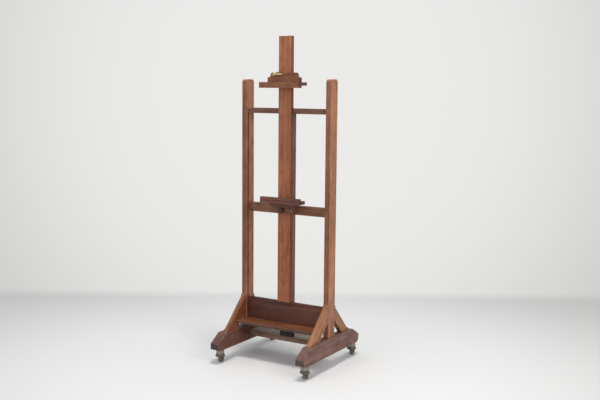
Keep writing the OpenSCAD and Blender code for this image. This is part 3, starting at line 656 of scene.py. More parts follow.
def revolve(mesh: BMesh, outline: Sequence[Span], place: Matrix, steps: int = 40) -> None:
    """Adds a turned solid.

    Args:
        mesh: Where the solid is added.
        outline: Radius and height of each point, from one pole or ring to the other.
        place: Puts the turned shape, made round Z, where it belongs.
        steps: Faces round the axis.
    """
    rings = []
    for radius, height in outline:
        if radius < ON_AXIS:
            rings.append([mesh.verts.new(place @ Vector((0.0, 0.0, height)))])
            continue
        circle = [(math.cos(a), math.sin(a)) for a in full_turn(steps)]
        rings.append([mesh.verts.new(place @ Vector((radius * x, radius * y, height)))
                      for x, y in circle])
    for low, high in zip(rings, rings[1:]):
        for i in range(steps):
            j = (i + 1) % steps
            corners = [low[i % len(low)], low[j % len(low)],
                       high[j % len(high)], high[i % len(high)]]
            unique = list(dict.fromkeys(corners))
            if len(unique) > 2:
                mesh.faces.new(unique)


def closed_revolve(mesh: BMesh, outline: Sequence[Span], place: Matrix, steps: int = 40) -> None:
    """Adds a turned ring whose outline closes on itself.

    Args:
        mesh: Where the ring is added.
        outline: Radius and height of each point, all off the axis.
        place: Puts the turned shape, made round Z, where it belongs.
        steps: Faces round the axis.
    """
    revolve(mesh, [*outline, outline[0]], place, steps)
    bmesh.ops.remove_doubles(mesh, verts=mesh.verts, dist=0.001 * MM)


def face_outwards(mesh: BMesh) -> None:
    """Points every face of closed shells outwards."""
    bmesh.ops.recalc_face_normals(mesh, faces=mesh.faces)


def arc(centre: Span, radius: float, start: float, end: float, steps: int = 6) -> list[Span]:
    """Points along an arc.

    Args:
        centre: The arc's centre.
        radius: The arc's radius.
        start: First angle, in degrees.
        end: Last angle, in degrees.
        steps: Number of stretches.

    Returns:
        The points, both ends included.
    """
    angles = [math.radians(start + (end - start) * i / steps) for i in range(steps + 1)]
    return [(centre[0] + radius * math.cos(a), centre[1] + radius * math.sin(a)) for a in angles]


def along_y(x: float, y: float, z: float, facing: int = 1) -> Matrix:
    """Places a turned shape on the Y axis: its Z runs towards +Y, or towards -Y."""
    turn = Euler((math.radians(-90 * facing), 0, 0)).to_matrix().to_4x4()
    return Matrix.Translation((x, y, z)) @ turn


def along_x(x: float, y: float, z: float) -> Matrix:
    """Places a turned shape with its Z along +X."""
    return Matrix.Translation((x, y, z)) @ Euler((0, math.radians(90), 0)).to_matrix().to_4x4()


@dataclass
class Assembly:
    """A group of pieces that ride on one CAD body."""

    body: str

    def take(self, piece: Piece, slot: str, *nodes: str) -> None:
        """Makes a finished piece ride on the body.

        Args:
            piece: The finished object.
            slot: The record's material slot, which is not used.
            *nodes: The CAD nodes that the piece stands for.
        """
        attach(piece, self.body)
        if nodes:
            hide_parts(*nodes)
        LOG.info("%s rides on %s", piece.name, self.body)

    def board(self, node: str, slot: str, finish: Finish, radius: float = 1.4 * MM,
              shortest: float = 8 * MM) -> None:
        """Adds a softened copy of a CAD solid.

        Args:
            node: The CAD node that the board copies and stands for.
            slot: The record's material slot, which is not used.
            finish: The board's finish.
            radius: Width of the rounded edges.
            shortest: Edges shorter than this stay sharp.
        """
        mesh = cad_copy(node)
        soften(mesh, radius, shortest)
        piece = finish_mesh(mesh, f"{node}_piece", Workshop.material(finish))
        self.take(piece, slot, node)

    def dress(self, node: str, finish: Finish) -> None:
        """Gives a CAD node that is shown as it is a better material."""
        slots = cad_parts[node].data.materials
        slots.clear()
        slots.append(Workshop.material(finish))
        LOG.info("%s keeps its CAD shape", node)


# ---- Geometry Nodes ----


class GeometryTool:
    """A Geometry Nodes tree with named inputs, which is run once on a mesh."""

    name: str = "tool"
    inputs: dict[str, float | int] = {}

    def __init__(self) -> None:
        """Builds the tree: inputs, the shape's own nodes, and its material."""
        self.tree = bpy.data.node_groups.new(self.name, "GeometryNodeTree")
        face = self.tree.interface
        face.new_socket("Geometry", in_out="INPUT", socket_type="NodeSocketGeometry")
        for label, value in self.inputs.items():
            kind = "NodeSocketInt" if isinstance(value, int) else "NodeSocketFloat"
            face.new_socket(label, in_out="INPUT", socket_type=kind).default_value = value
        face.new_socket("Material", in_out="INPUT", socket_type="NodeSocketMaterial")
        face.new_socket("Geometry", in_out="OUTPUT", socket_type="NodeSocketGeometry")
        self.graph = Graph(self.tree)
        self.given = self.graph.add("NodeGroupInput").outputs
        made = self.graph.add("GeometryNodeRealizeInstances", {0: self.body()})
        painted = self.graph.add("GeometryNodeSetMaterial",
                                 {"Geometry": made.outputs[0], "Material": self.given["Material"]})
        smooth = self.graph.add("GeometryNodeSetShadeSmooth", {0: painted.outputs[0],
                                                               "Shade Smooth": False})
        self.graph.add("NodeGroupOutput", {0: smooth.outputs[0]})

    def body(self) -> Socket:
        """Adds the tree's own nodes and returns the geometry that they make."""
        raise NotImplementedError

    def run(self, name: str, seeds: BMesh, material: Material, **values: object) -> Piece:
        """Runs the tree on a mesh.

        Args:
            name: The piece's name.
            seeds: The mesh that the tree starts from, freed here.
            material: The material that the tree sets.
            **values: Input values, with underscores for the spaces in their names.

        Returns:
            The piece as a plain mesh.
        """
        piece = in_scene(name, mesh_data(seeds, name))
        modifier = piece.modifiers.new(self.name, "NODES")
        modifier.node_group = self.tree
        chosen = {key.replace("_", " "): value for key, value in values.items()}
        for item in self.tree.interface.items_tree:
            if item.in_out != "INPUT" or item.name == "Geometry":
                continue
            if item.name == "Material":
                modifier[item.identifier] = material
            elif item.name in chosen:
                modifier[item.identifier] = chosen[item.name]
        return flatten(piece)

    def cylinder(self, radius: object, depth: object, sides: int, top: object = None) -> Socket:
        """Adds a cylinder or cone that rises from the origin.

        Args:
            radius: Bottom radius or output.
            depth: Height or output.
            sides: Number of sides.
            top: Top radius or output, where it differs.

        Returns:
            The mesh's output.
        """
        sockets = {"Vertices": sides, "Radius Bottom": radius, "Depth": depth,
                   "Radius Top": radius if top is None else top}
        return self.graph.add("GeometryNodeMeshCone", sockets).outputs["Mesh"]

    def shift(self, shape: object, offset: object, turn: Point = (0, 0, 0)) -> Socket:
        """Moves and turns a shape.

        Args:
            shape: The geometry's output.
            offset: The move, as a vector or an output.
            turn: The turn, in radians about X, Y and Z.

        Returns:
            The moved geometry.
        """
        return self.graph.add("GeometryNodeTransform", {"Geometry": shape, "Translation": offset,
                                                        "Rotation": turn}).outputs[0]

    def repeat(self, points: object, shape: object, **settings: object) -> Socket:
        """Sets an instance of a shape on every point.

        Args:
            points: The points' geometry.
            shape: The geometry to repeat.
            **settings: More inputs of the node, such as Rotation.

        Returns:
            The instances.
        """
        sockets = {"Points": points, "Instance": shape, **settings}
        return self.graph.add("GeometryNodeInstanceOnPoints", sockets).outputs[0]

    def join(self, *shapes: object) -> Socket:
        """Joins several geometries into one."""
        node = self.graph.add("GeometryNodeJoinGeometry")
        for shape in shapes:
            self.graph.tree.links.new(shape, node.inputs[0])
        return node.outputs[0]

    def vector(self, x: object = 0.0, y: object = 0.0, z: object = 0.0) -> Socket:
        """Joins three numbers into a vector."""
        return self.graph.add("ShaderNodeCombineXYZ", {0: x, 1: y, 2: z}).outputs[0]


class ScrewTool(GeometryTool):
    """Slotted countersunk wood screws, one at each point, turned to the point's normal."""

    name = "slotted screws"
    inputs = {
        "Head radius": 3.9 * MM,
        "Head height": 2.4 * MM,
        "Shank radius": 1.9 * MM,
        "Length": 26 * MM,
        "Slot width": 1.1 * MM,
        "Slot depth": 1.2 * MM,
        "Seed": 7,
    }

    def body(self) -> Socket:
        """Builds one screw and places it at every point with a random turn of its slot."""
        g, given = self.graph, self.given
        drop = g.math("MULTIPLY", given["Head height"], -1.0)
        head = self.shift(self.cylinder(given["Shank radius"], given["Head height"], 24,
                                        given["Head radius"]), self.vector(z=drop))
        shank_drop = g.math("MULTIPLY", given["Length"], -1.0)
        shank = self.shift(self.cylinder(given["Shank radius"], given["Length"], 16),
                           self.vector(z=shank_drop))
        slot_size = self.vector(g.math("MULTIPLY", given["Head radius"], 3.0), given["Slot width"],
                                g.math("MULTIPLY", given["Slot depth"], 2.0))
        cutter = g.add("GeometryNodeMeshCube", {"Size": slot_size}).outputs["Mesh"]
        cut = g.add("GeometryNodeMeshBoolean", {"Mesh 1": head, "Mesh 2": cutter},
                    operation="DIFFERENCE", solver="EXACT").outputs["Mesh"]
        short = self.shift(shank, self.vector(z=g.math("MULTIPLY", given["Slot depth"], -1.2)))
        screw = self.join(cut, short)
        facing = g.add("GeometryNodeInputNamedAttribute", {"Name": "facing"},
                       data_type="FLOAT_VECTOR")
        aim = g.add("FunctionNodeAlignRotationToVector", {"Vector": facing.outputs[0]}, axis="Z")
        spin = g.add("FunctionNodeRandomValue", {"Min": (0, 0, 0), "Max": (0, 0, math.pi),
                                                 "Seed": given["Seed"]}, data_type="FLOAT_VECTOR")
        turned = g.add("FunctionNodeRotateRotation", {"Rotation": aim.outputs[0]},
                       rotation_space="LOCAL")
        as_turn = g.add("FunctionNodeEulerToRotation", {0: spin.outputs[0]})
        g.tree.links.new(as_turn.outputs[0], turned.inputs[1])
        return self.repeat(given["Geometry"], screw, Rotation=turned.outputs[0])


class ThreadTool(GeometryTool):
    """A threaded rod: a core with a ridge that follows a helix, rising from the origin."""

    name = "threaded rod"
    inputs = {
        "Core radius": 3.4 * MM,
        "Ridge radius": 0.45 * MM,
        "Pitch": 1.25 * MM,
        "Length": 50 * MM,
    }

    def body(self) -> Socket:
        """Sweeps a three-sided ridge along a helix round the core."""
        g, given = self.graph, self.given
        turns = g.math("DIVIDE", given["Length"], given["Pitch"])
        margin = g.math("MULTIPLY", given["Ridge radius"], 2.0)
        rise = g.math("SUBTRACT", given["Length"], margin)
        helix = g.add("GeometryNodeCurveSpiral",
                      {"Resolution": 14, "Rotations": turns, "Start Radius": given["Core radius"],
                       "End Radius": given["Core radius"], "Height": rise}).outputs[0]
        section = g.add("GeometryNodeCurvePrimitiveCircle",
                        {"Resolution": 3, "Radius": given["Ridge radius"]}).outputs[0]
        ridge = g.add("GeometryNodeCurveToMesh", {"Curve": helix, "Profile Curve": section,
                                                  "Fill Caps": True}).outputs[0]
        lifted = self.shift(ridge, self.vector(z=given["Ridge radius"]))
        rod = self.join(lifted, self.cylinder(given["Core radius"], given["Length"], 20))
        return self.repeat(given["Geometry"], rod)


class RibTool(GeometryTool):
    """Ribs set evenly round a circle, each a small bar that points outwards."""

    name = "ring of ribs"
    inputs = {
        "Count": 24,
        "Ring radius": 9 * MM,
        "Rib length": 1.0 * MM,
        "Rib width": 0.8 * MM,
        "Rib height": 5 * MM,
    }

    def body(self) -> Socket:
        """Places one bar at each corner of a circle of points, turned to face outwards."""
        g, given = self.graph, self.given
        ring = g.add("GeometryNodeMeshCircle", {"Vertices": given["Count"],
                                                "Radius": given["Ring radius"]}).outputs["Mesh"]
        size = self.vector(given["Rib length"], given["Rib width"], given["Rib height"])
        rib = g.add("GeometryNodeMeshCube", {"Size": size}).outputs["Mesh"]
        place = g.add("GeometryNodeInputPosition").outputs[0]
        aim = g.add("FunctionNodeAlignRotationToVector", {"Vector": place}, axis="X")
        ribs = self.repeat(ring, rib, Rotation=aim.outputs[0])
        return self.repeat(given["Geometry"], ribs)


def single_point() -> BMesh:
    """A mesh of one point at the origin, for tools that build one shape."""
    mesh = bmesh.new()
    mesh.verts.new((0.0, 0.0, 0.0))
    return mesh


def placed(piece: Piece, place: Matrix) -> Piece:
    """Moves a piece's mesh, and leaves its object at the origin."""
    piece.data.transform(place)
    piece.data.update()
    return piece


def screw_seats(node: str) -> tuple[BMesh, float]:
    """Finds where a CAD group of screws sits.

    Args:
        node: The CAD node that holds the screws as separate solids.

    Returns:
        A mesh with one point at each head's centre and its outward direction, and the
        screws' mean length.
    """
    group = cad_copy(node)
    seats = bmesh.new()
    facing = seats.verts.layers.float_vector.new("facing")
    lengths = []
    # A dict keeps the vertices in order, so every run finds the screws in the same order.
    waiting = dict.fromkeys(group.verts)
    while waiting:
        stack, island = [waiting.popitem()[0]], []
        while stack:
            vert = stack.pop()
            island.append(vert.co.copy())
            for edge in vert.link_edges:
                other = edge.other_vert(vert)
                if other in waiting:
                    del waiting[other]
                    stack.append(other)
        low, high = (Vector([pick(p[i] for p in island) for i in range(3)]) for pick in (min, max))
        size, middle = high - low, (low + high) / 2
        axis = max(range(3), key=lambda i: size[i])
        width_at = [0.0, 0.0]
        for p in island:
            across = math.dist([p[i] for i in range(3) if i != axis],
                               [middle[i] for i in range(3) if i != axis])
            end = int(p[axis] > middle[axis])
            width_at[end] = max(width_at[end], across)
        upwards = width_at[1] > width_at[0]
        outward = Vector((0.0, 0.0, 0.0))
        outward[axis] = 1.0 if upwards else -1.0
        head = middle.copy()
        head[axis] = high[axis] if upwards else low[axis]
        seats.verts.new(head)[facing] = outward
        lengths.append(size[axis])
    group.free()
    return seats, sum(lengths) / len(lengths)


@dataclass
class Toolbox:
    """The Geometry Nodes trees that the hardware shares."""

    screws: ScrewTool = field(default_factory=ScrewTool)
    threads: ThreadTool = field(default_factory=ThreadTool)
    ribs: RibTool = field(default_factory=RibTool)

    def screw_set(self, group: Assembly, node: str, seed: int) -> None:
        """Replaces a CAD group of plain screws by slotted ones.

        Args:
            group: The assembly that holds the screws.
            node: The CAD node of the screws.
            seed: Seed of the slots' turns.
        """
        seats, length = screw_seats(node)
        piece = self.screws.run(f"{node}_piece", seats, Workshop.material(BRASS), Seed=seed,
                                Length=length - 1.5 * MM)
        group.take(piece, "brass", node)


# ---- The easel ----


class Frame(Assembly):
    """Feet, posts, braces, rails, panels and the guide for the mast."""

    def build(self, tools: Toolbox) -> None:
        """Builds every fixed wooden piece.

        Args:
            tools: The shared Geometry Nodes trees.
        """
        for side in Side:
            foot = FEET_OAK if side is Side.RIGHT else LEFT_FOOT_OAK
            self.board(f"{side.value}_sledge", "foot_wood", foot, 3.2 * MM, 12 * MM)
            self.board(f"{side.value}_post", "post_wood", POST_OAK)
            # The left front brace takes the copy with painted shade.
            front = FRONT_BRACE_OAK if side is Side.RIGHT else LEFT_BRACE_SHADED_OAK
            self.board(f"{side.value}_front_brace", "brace_wood", front, 1.8 * MM)
            self.board(f"{side.value}_rear_brace", "brace_wood", REAR_BRACE_OAK, 1.8 * MM)
        self.board("bottom_board", "foot_wood", STRETCHER_OAK)
        self.board("top_rail", "post_wood", TOP_RAIL_OAK)
        self.board("mid_rail", "post_wood", RAIL_OAK)
        self.board("centre_post", "post_wood", GUIDE_OAK, 1.0 * MM, 12 * MM)
        self.board("backboard", "dark_wood", DARK_OAK)
        self.board("shelf", "shelf_wood", SHELF_OAK, 1.8 * MM)
        self.board("mast_key", "hard_wood", HARD_WOOD, 0.5 * MM, 12 * MM)
        self.dress("brace_dowels", HARD_WOOD)
        self.dress("shelf_dowels", HARD_WOOD)
        self.dress("mast_lock_insert", BRASS)
        tools.screw_set(self, "key_screws", 3)
        for end in End:
            for side in Side:
                self.dress(f"{end.value}_{side.value}_castor_socket", COLLAR_METAL)


class Mast(Assembly):
    """The sliding board."""

    def build(self) -> None:
        """Builds the mast with lightly rounded edges."""
        self.board("mast", "mast_wood", MAST_OAK, 1.6 * MM, 3 * MM)


class TopClamp(Assembly):
    """Block, ledge and hanging lip of the canvas clamp."""

    def build(self, tools: Toolbox) -> None:
        """Builds the clamp's wooden pieces and its screws.

        Args:
            tools: The shared Geometry Nodes trees.
        """
        self.board("clamp_block", "clamp_wood", CLAMP_OAK, 1.5 * MM, 7 * MM)
        self.board("clamp_ledge", "clamp_wood", CLAMP_OAK, 1.8 * MM)
        self.board("clamp_lip", "clamp_wood", CLAMP_OAK, 1.8 * MM)
        self.board("clamp_runners", "hard_wood", HARD_WOOD, 0.4 * MM)
        tools.screw_set(self, "clamp_screws", 11)


@dataclass
class CamLever(Assembly):
    """Brass lever with a domed hub and a bowed arm, and the cam behind the block."""

    arm_root: float = 7.4 * MM
    arm_tip: float = 4.6 * MM
    arm_thick: float = 3.1 * MM
    arm_bow: float = 2.2 * MM
    tip_from: float = 0.86
    hub_rim: float = 1.2 * MM

    def build(self) -> None:
        """Builds the lever and dresses the cam."""
        low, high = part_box("clamp_lever")
        hub_r = (high.z - low.z) / 2
        pivot = Vector((low.x + hub_r, high.y, (low.z + high.z) / 2))
        depth = high.y - low.y
        mesh = bmesh.new()
        self._hub(mesh, pivot, hub_r, depth)
        self._arm(mesh, pivot, high.x - pivot.x, depth)
        face_outwards(mesh)
        piece = finish_mesh(mesh, "clamp_lever_piece", Workshop.material(BRASS))
        self.take(piece, "brass", "clamp_lever")
        self.board("clamp_cam", "brass", BRASS, 0.5 * MM, 0.2 * MM)

    def _hub(self, mesh: BMesh, pivot: Vector, radius: float, depth: float) -> None:
        """Adds the domed hub with a rim and a raised button.

        Args:
            mesh: Where the hub is added.
            pivot: Centre of the hub's back face.
            radius: The hub's radius.
            depth: The hub's thickness.
        """
        rim = self.hub_rim
        outline = [(0.0, 0.0)]
        outline += arc((radius - rim, rim), rim, -90, 0, 3)
        outline += arc((radius - 3 * rim, depth - 5.5 * rim), 3 * rim, 0, 70, 5)
        outline += arc((radius * 0.38, depth - 1.6 * rim), 1.6 * rim, 30, 90, 4)
        outline.append((0.0, depth))
        revolve(mesh, outline, along_y(*pivot, facing=-1), 48)

    def _arm(self, mesh: BMesh, pivot: Vector, reach: float, depth: float) -> None:
        """Adds the arm: an oval section swept along a bowed line to a rounded tip.

        Args:
            mesh: Where the arm is added.
            pivot: Centre of the hub's back face.
            reach: Distance from the pivot to the arm's tip.
            depth: The hub's thickness.
        """
        stations, sides = 22, 20
        rings = []
        for i in range(stations + 1):
            t = i / stations
            past = max(0.0, (t - self.tip_from) / (1.0 - self.tip_from))
            end = math.sqrt(max(0.0, 1.0 - past ** 2))
            half = (self.arm_root + (self.arm_tip - self.arm_root) * t) * end
            thick = self.arm_thick * end
            rise = self.arm_bow * math.sin(math.pi * t)
            middle = pivot + Vector((t * reach, -depth * 0.5, rise))
            if end <= 0.0:
                rings.append([mesh.verts.new(middle)])
                continue
            oval = [(thick * math.cos(a), half * math.sin(a)) for a in full_turn(sides)]
            rings.append([mesh.verts.new(middle + Vector((0.0, y, z))) for y, z in oval])
        mesh.faces.new(rings[0])
        for near, far in zip(rings, rings[1:]):
            for k in range(sides):
                m = (k + 1) % sides
                corners = [near[k], near[m], far[m % len(far)], far[k % len(far)]]
                mesh.faces.new(list(dict.fromkeys(corners)))


class CanvasTray(Assembly):
    """Board, lip and bracket of the tray that holds the canvas."""

    def build(self, tools: Toolbox) -> None:
        """Builds the tray's wooden pieces, runners, insert and screws.

        Args:
            tools: The shared Geometry Nodes trees.
        """
        self.board("tray_board", "tray_wood", TRAY_OAK, 1.8 * MM)
        self.board("tray_lip", "tray_wood", TRAY_OAK, 2.2 * MM)
        self.board("tray_bracket", "tray_wood", TRAY_OAK, 1.5 * MM)
        self.board("tray_runners", "hard_wood", HARD_WOOD, 0.4 * MM)
        self.dress("tray_insert", BRASS)
        tools.screw_set(self, "tray_screws", 19)


@dataclass
class HandScrew(Assembly):
    """A fluted knob with a knurled brass ferrule on a threaded stud.

    The neck, the ferrule and the place where the flutes begin are shares of the knob's radius.
    The collar and the crown are shares of its length, and the flute depth is a share of each
    point's distance from the axis.
    """

    prefix: str = "tray_lock"
    facing: int = -1
    flutes: int = 8
    flute_depth: float = 0.11
    flutes_from: float = 0.6
    neck: float = 0.55
    collar: float = 0.26
    crown: float = 0.16
    stand_off: float = 0.4 * MM
    ferrule: float = 0.6
    knurls: int = 36
    knurl_width: float = 0.7 * MM
    ridge: float = 0.45 * MM

    def build(self, tools: Toolbox) -> None:
        """Builds the knob, its ferrule and the stud.

        Args:
            tools: The shared Geometry Nodes trees.
        """
        low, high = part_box(f"{self.prefix}_knob")
        radius, length = (high.x - low.x) / 2, high.y - low.y
        seat = low.y if self.facing > 0 else high.y
        place = along_y((low.x + high.x) / 2, seat, (low.z + high.z) / 2, self.facing)
        self._knob(place, radius, length)
        self._ferrule(tools, place, radius * self.ferrule, length / 4)
        self._stud(tools)

    def _knob(self, place: Matrix, radius: float, length: float) -> None:
        """Builds the knob: a turned shape whose widest part is fluted.

        Args:
            place: Puts the knob, made round Z, where it belongs.
            radius: The knob's radius.
            length: The knob's length.
        """
        neck, collar, crown = radius * self.neck, length * self.collar, length * self.crown
        outline = [(0.0, self.stand_off), (neck, self.stand_off), (neck, collar)]
        outline += arc((radius - crown, collar + crown), crown, -90, 0, 6)
        outline += arc((radius - crown, length - crown), crown, 0, 60, 6)
        outline += [(radius * 0.45, length * 0.985), (0.0, length)]
        mesh = bmesh.new()
        revolve(mesh, outline, Matrix.Identity(4), 96)
        for vert in mesh.verts:
            share = math.hypot(vert.co.x, vert.co.y) / radius
            if share < self.flutes_from:
                continue
            angle = math.atan2(vert.co.y, vert.co.x)
            dip = max(0.0, math.cos(self.flutes * angle)) ** 2
            scale = 1.0 - self.flute_depth * dip * min(1.0, (share - self.flutes_from) / 0.3)
            vert.co.x *= scale
            vert.co.y *= scale
        mesh.transform(place)
        face_outwards(mesh)
        piece = finish_mesh(mesh, f"{self.prefix}_knob_piece", Workshop.material(KNOB_WOOD))
        self.take(piece, "knob", f"{self.prefix}_knob")

    def _ferrule(self, tools: Toolbox, place: Matrix, radius: float, length: float) -> None:
        """Adds a knurled brass ring round the knob's neck.

        Args:
            tools: The shared Geometry Nodes trees.
            place: The knob's place.
            radius: Outer radius of the knurls.
            length: Length of the ring.
        """
        wall = radius * 0.06
        ring = bmesh.new()
        inner, outer, gap = radius - 2 * wall, radius - wall, 0.5 * MM
        outline = [(inner, gap), (outer, gap), (outer, length), (inner, length)]
        closed_revolve(ring, outline, place, 48)
        face_outwards(ring)
        piece = finish_mesh(ring, f"{self.prefix}_ferrule", Workshop.material(BRASS))
        self.take(piece, "brass")
        knurls = tools.ribs.run(f"{self.prefix}_knurls", single_point(), Workshop.material(BRASS),
                                Count=self.knurls, Ring_radius=outer, Rib_length=1.6 * wall,
                                Rib_width=self.knurl_width, Rib_height=(length - gap) * 0.7)
        middle = Matrix.Translation((0, 0, (length + gap) / 2))
        self.take(placed(knurls, place @ middle), "brass")

    def _stud(self, tools: Toolbox) -> None:
        """Builds the stud's thread in the place of the CAD stud.

        Args:
            tools: The shared Geometry Nodes trees.
        """
        low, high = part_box(f"{self.prefix}_stud")
        radius = (high.x - low.x) / 2
        stud = tools.threads.run(f"{self.prefix}_stud_piece", single_point(),
                                 Workshop.material(STEEL), Core_radius=radius - self.ridge,
                                 Ridge_radius=self.ridge, Length=high.y - low.y)
        start = along_y((low.x + high.x) / 2, low.y, (low.z + high.z) / 2)
        self.take(placed(stud, start), "steel", f"{self.prefix}_stud")


@dataclass
class Castor(Assembly):
    """A swivelling castor: flared hood with beads and a rolled rim, stem and riveted axle."""

    rim_wire: float = 1.0 * MM
    bead: float = 0.9 * MM
    flare: float = 5.0 * MM
    rim_below_wheel_top: float = 4.0 * MM
    bead_drops: Span = (3.0 * MM, 7.5 * MM)
    shaft_r: float = 3.0 * MM
    rivet_t: float = 1.5 * MM

    def build(self) -> None:
        """Builds the hood, the axle and the stem."""
        low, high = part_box(f"{self.body}_horn")
        pivot = Vector(((low.x + high.x) / 2, (low.y + high.y) / 2, 0.0))
        radius = (high.x - low.x) / 2
        wheel_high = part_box(f"{self.body}_wheel")[1]
        rim_z = wheel_high.z - self.rim_below_wheel_top
        mesh = cad_copy(f"{self.body}_horn")
        mesh.loops.layers.float.new(WEAR)
        base = Matrix.Translation(pivot)
        wire = arc((radius - self.rim_wire, rim_z + self.rim_wire), self.rim_wire, 0, 330, 11)
        closed_revolve(mesh, wire, base, 64)
        neck_r = radius - self.flare
        for drop in self.bead_drops:
            bead = arc((neck_r - 0.2 * MM, high.z - drop), self.bead, 0, 330, 9)
            closed_revolve(mesh, bead, base, 56)
        face_outwards(mesh)
        horn = finish_mesh(mesh, f"{self.body}_hood", Workshop.material(CASTOR_METAL))
        self.take(horn, "castor_metal", f"{self.body}_horn")
        self._axle()
        self.dress(f"{self.body}_stem", CASTOR_METAL)

    def _axle(self) -> None:
        """Builds the axle with a domed rivet head at each end."""
        low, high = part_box(f"{self.body}_axle")
        half = (high.x - low.x) / 2
        head_r = (high.z - low.z) / 2
        head_t = self.rivet_t
        dome = arc((0.0, half - head_t), head_t, 0, 90, 5)
        top = [(x * head_r / head_t, z) for x, z in dome]
        outline = [(x, -z) for x, z in reversed(top)]
        outline += [(self.shaft_r, head_t - half), (self.shaft_r, half - head_t)]
        outline += top
        mesh = bmesh.new()
        revolve(mesh, outline, along_x(*((low + high) / 2)), 36)
        face_outwards(mesh)
        piece = finish_mesh(mesh, f"{self.body}_rivet_axle", Workshop.material(CASTOR_METAL))
        self.take(piece, "castor_metal", f"{self.body}_axle")


@dataclass
class Wheel(Assembly):
    """A hard wheel with a crowned tread, a raised hub and ribs on both faces."""

    node: str = ""
    rib_count: int = 10
    rib_width: float = 1.6 * MM
    bore: float = 3.05 * MM
    hub: float = 7.6 * MM
    face_in: float = 1.0 * MM
    web_in: float = 3.4 * MM

    def build(self, tools: Toolbox) -> None:
        """Builds the turned wheel and its ribs.

        Args:
            tools: The shared Geometry Nodes trees.
        """
        low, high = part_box(self.node)
        centre = (low + high) / 2
        radius, half = (high.z - low.z) / 2, (high.x - low.x) / 2
        bevel, shoulder_r = 0.8 * MM, 2.2 * MM
        hub, face, web = self.hub, half - self.face_in, half - self.web_in
        side = [(self.bore, half), (hub - bevel, half), (hub, half - bevel), (hub + 1.2 * MM, web)]
        side += [(radius - 5.2 * MM, web), (radius - 4.0 * MM, face - 0.4 * MM),
                 (radius - 3.2 * MM, face)]
        side += arc((radius - 2.6 * MM, face - shoulder_r), shoulder_r, 80, 20, 5)
        tread = [(radius, 0.30 * half), (radius, 0.08 * half), (radius - 0.5 * MM, 0.04 * half)]
        half_outline = side + tread
        outline = half_outline + [(r, -z) for r, z in reversed(half_outline)]
        mesh = bmesh.new()
        closed_revolve(mesh, outline, along_x(*centre), 64)
        face_outwards(mesh)
        wheel = finish_mesh(mesh, f"{self.node}_piece", Workshop.material(WHEEL_GREY))
        self.take(wheel, "castor_wheel", self.node)
        reach = radius - 5.0 * MM - hub
        ribs = tools.ribs.run(f"{self.node}_ribs", single_point(), Workshop.material(WHEEL_GREY),
                              Count=self.rib_count, Ring_radius=hub + reach / 2, Rib_length=reach,
                              Rib_width=self.rib_width, Rib_height=2 * web + self.rib_width)
        self.take(placed(ribs, along_x(*centre)), "castor_wheel")


# ---- Studio ----


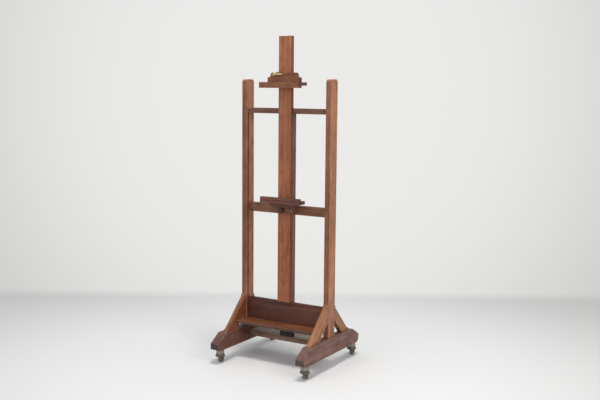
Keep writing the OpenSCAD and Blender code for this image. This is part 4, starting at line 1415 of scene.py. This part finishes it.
@dataclass
class Studio:
    """Pale floor, soft light and the camera."""

    azimuth: float = 31.04
    pitch: float = 7.04
    roll: float = 0.525
    camera_at: Point = (2.735, -4.398, 1.610)
    lens: float = 52.75
    floor_tone: Rgb = (0.690, 0.695, 0.702)
    floor_shaded_rim: Rgb = (0.540, 0.542, 0.540)
    glow_tone: Rgb = (0.83, 0.825, 0.815)
    backdrop_shaded_edge: Rgb = (0.60, 0.595, 0.585)
    fill_tone: Rgb = (0.98, 0.99, 1.0)
    fill_strength: float = 0.60
    seam: Span = (1.50, 1.85)
    floor_r: float = 4.4

    def build(self) -> None:
        """Makes the camera, the floor, the world and the lamps."""
        self._camera()
        self._floor()
        self._world()
        self._lamp("key", (0.6, -0.5, 5.6), 1.3, 170.0, (1.0, 0.975, 0.94))
        self._lamp("side", (3.6, -1.4, 2.4), 1.6, 46.0, (1.0, 0.97, 0.93))
        self._lamp("front", (-1.4, -4.0, 2.2), 2.2, 34.0, (0.97, 0.98, 1.0))
        bpy.context.scene.view_settings.view_transform = "Standard"

    def _ahead(self) -> Vector:
        """The level direction in which the camera looks."""
        az = math.radians(self.azimuth)
        return Vector((-math.sin(az), math.cos(az), 0.0))

    def _camera(self) -> None:
        """Adds the camera, level but for a small roll."""
        data = bpy.data.cameras.new("camera")
        data.lens = self.lens
        data.sensor_width = 36.0
        camera = in_scene("camera", data)
        az, tilt = math.radians(self.azimuth), math.radians(self.pitch)
        ahead = self._ahead() * math.cos(tilt) - Vector((0.0, 0.0, math.sin(tilt)))
        turn = Matrix.Rotation(math.radians(self.roll), 3, -ahead)
        right = turn @ Vector((math.cos(az), math.sin(az), 0.0))
        up = right.cross(ahead)
        axes = Matrix((right, up, -ahead)).transposed().to_4x4()
        camera.matrix_world = Matrix.Translation(self.camera_at) @ axes
        bpy.context.scene.camera = camera

    def _floor(self) -> None:
        """Adds a floor that ends in a soft straight seam behind the easel."""
        mesh = bmesh.new()
        bmesh.ops.create_circle(mesh, cap_ends=True, segments=96, radius=self.floor_r)
        floor = in_scene("floor", mesh_data(mesh, "floor"))
        material, g, shader = new_material("studio_floor")
        place = g.coordinates()
        far = g.vectors("LENGTH", place)
        behind = g.vectors("DOT_PRODUCT", place, self._ahead())
        clear = g.add("ShaderNodeBsdfTransparent")
        share = g.math("MAXIMUM", g.span(far, 3.0, 4.3), g.span(behind, *self.seam))
        mixed = g.add("ShaderNodeMixShader", {0: share, 1: shader.outputs[0], 2: clear.outputs[0]})
        output = next(n for n in g.tree.nodes if n.type == "OUTPUT_MATERIAL")
        g.feed(output.inputs["Surface"], mixed.outputs[0])
        # Painted pool of light: the floor darkens from its middle towards the rim.
        tone = g.blend(g.span(far, 0.9, 2.9), self.floor_tone, self.floor_shaded_rim)
        g.feed(shader.inputs["Base Color"], tone)
        shader.inputs["Roughness"].default_value = 0.7
        shader.inputs["Specular IOR Level"].default_value = 0.2
        floor.data.materials.append(material)

    def _world(self) -> None:
        """Sets the backdrop that the camera sees, a painted glow behind the easel that darkens to
        its edges, and an even fill light.
        """
        world = bpy.data.worlds.new("studio")
        world.use_nodes = True
        g = Graph(world.node_tree)
        near = g.vectors("DOT_PRODUCT", g.coordinates("Generated"), self._ahead())
        tone = g.blend(g.span(near, 0.90, 0.995), self.backdrop_shaded_edge, self.glow_tone)
        seen = g.add("ShaderNodeBackground", {"Color": tone, "Strength": 1.0})
        fill = g.add("ShaderNodeBackground", {"Color": (*self.fill_tone, 1.0),
                                              "Strength": self.fill_strength})
        direct = g.add("ShaderNodeLightPath").outputs["Is Camera Ray"]
        both = g.add("ShaderNodeMixShader", {0: direct, 1: fill.outputs[0], 2: seen.outputs[0]})
        g.add("ShaderNodeOutputWorld", {"Surface": both.outputs[0]})
        bpy.context.scene.world = world

    def _lamp(self, name: str, at: Point, size: float, power: float, tint: Rgb) -> None:
        """Adds a square soft lamp that looks at the easel's middle.

        Args:
            name: The lamp's name.
            at: Where it stands.
            size: Its side.
            power: Its power in watts.
            tint: Its colour.
        """
        data = bpy.data.lights.new(name, "AREA")
        data.size, data.energy, data.color = size, power, tint
        lamp = in_scene(name, data)
        aim = Vector((0.0, 0.0, 0.9)) - Vector(at)
        turn = aim.to_track_quat("-Z", "Y").to_matrix().to_4x4()
        lamp.matrix_world = Matrix.Translation(at) @ turn


def main() -> None:
    """Builds the studio and every sub-assembly, in order."""
    logging.basicConfig(level=logging.INFO, format="%(name)s: %(message)s")
    Studio().build()
    tools = Toolbox()
    Frame("frame").build(tools)
    Mast("mast").build()
    HandScrew("mast_lock", prefix="mast_lock", facing=1).build(tools)
    TopClamp("clamp").build(tools)
    CamLever("cam_lever").build()
    CanvasTray("tray").build(tools)
    HandScrew("tray_lock").build(tools)
    for end in End:
        for side in Side:
            corner = f"{end.value}_{side.value}"
            Castor(f"{corner}_castor").build()
            Wheel(f"{corner}_wheel", node=f"{corner}_castor_wheel").build(tools)


if __name__ == "__main__":
    main()
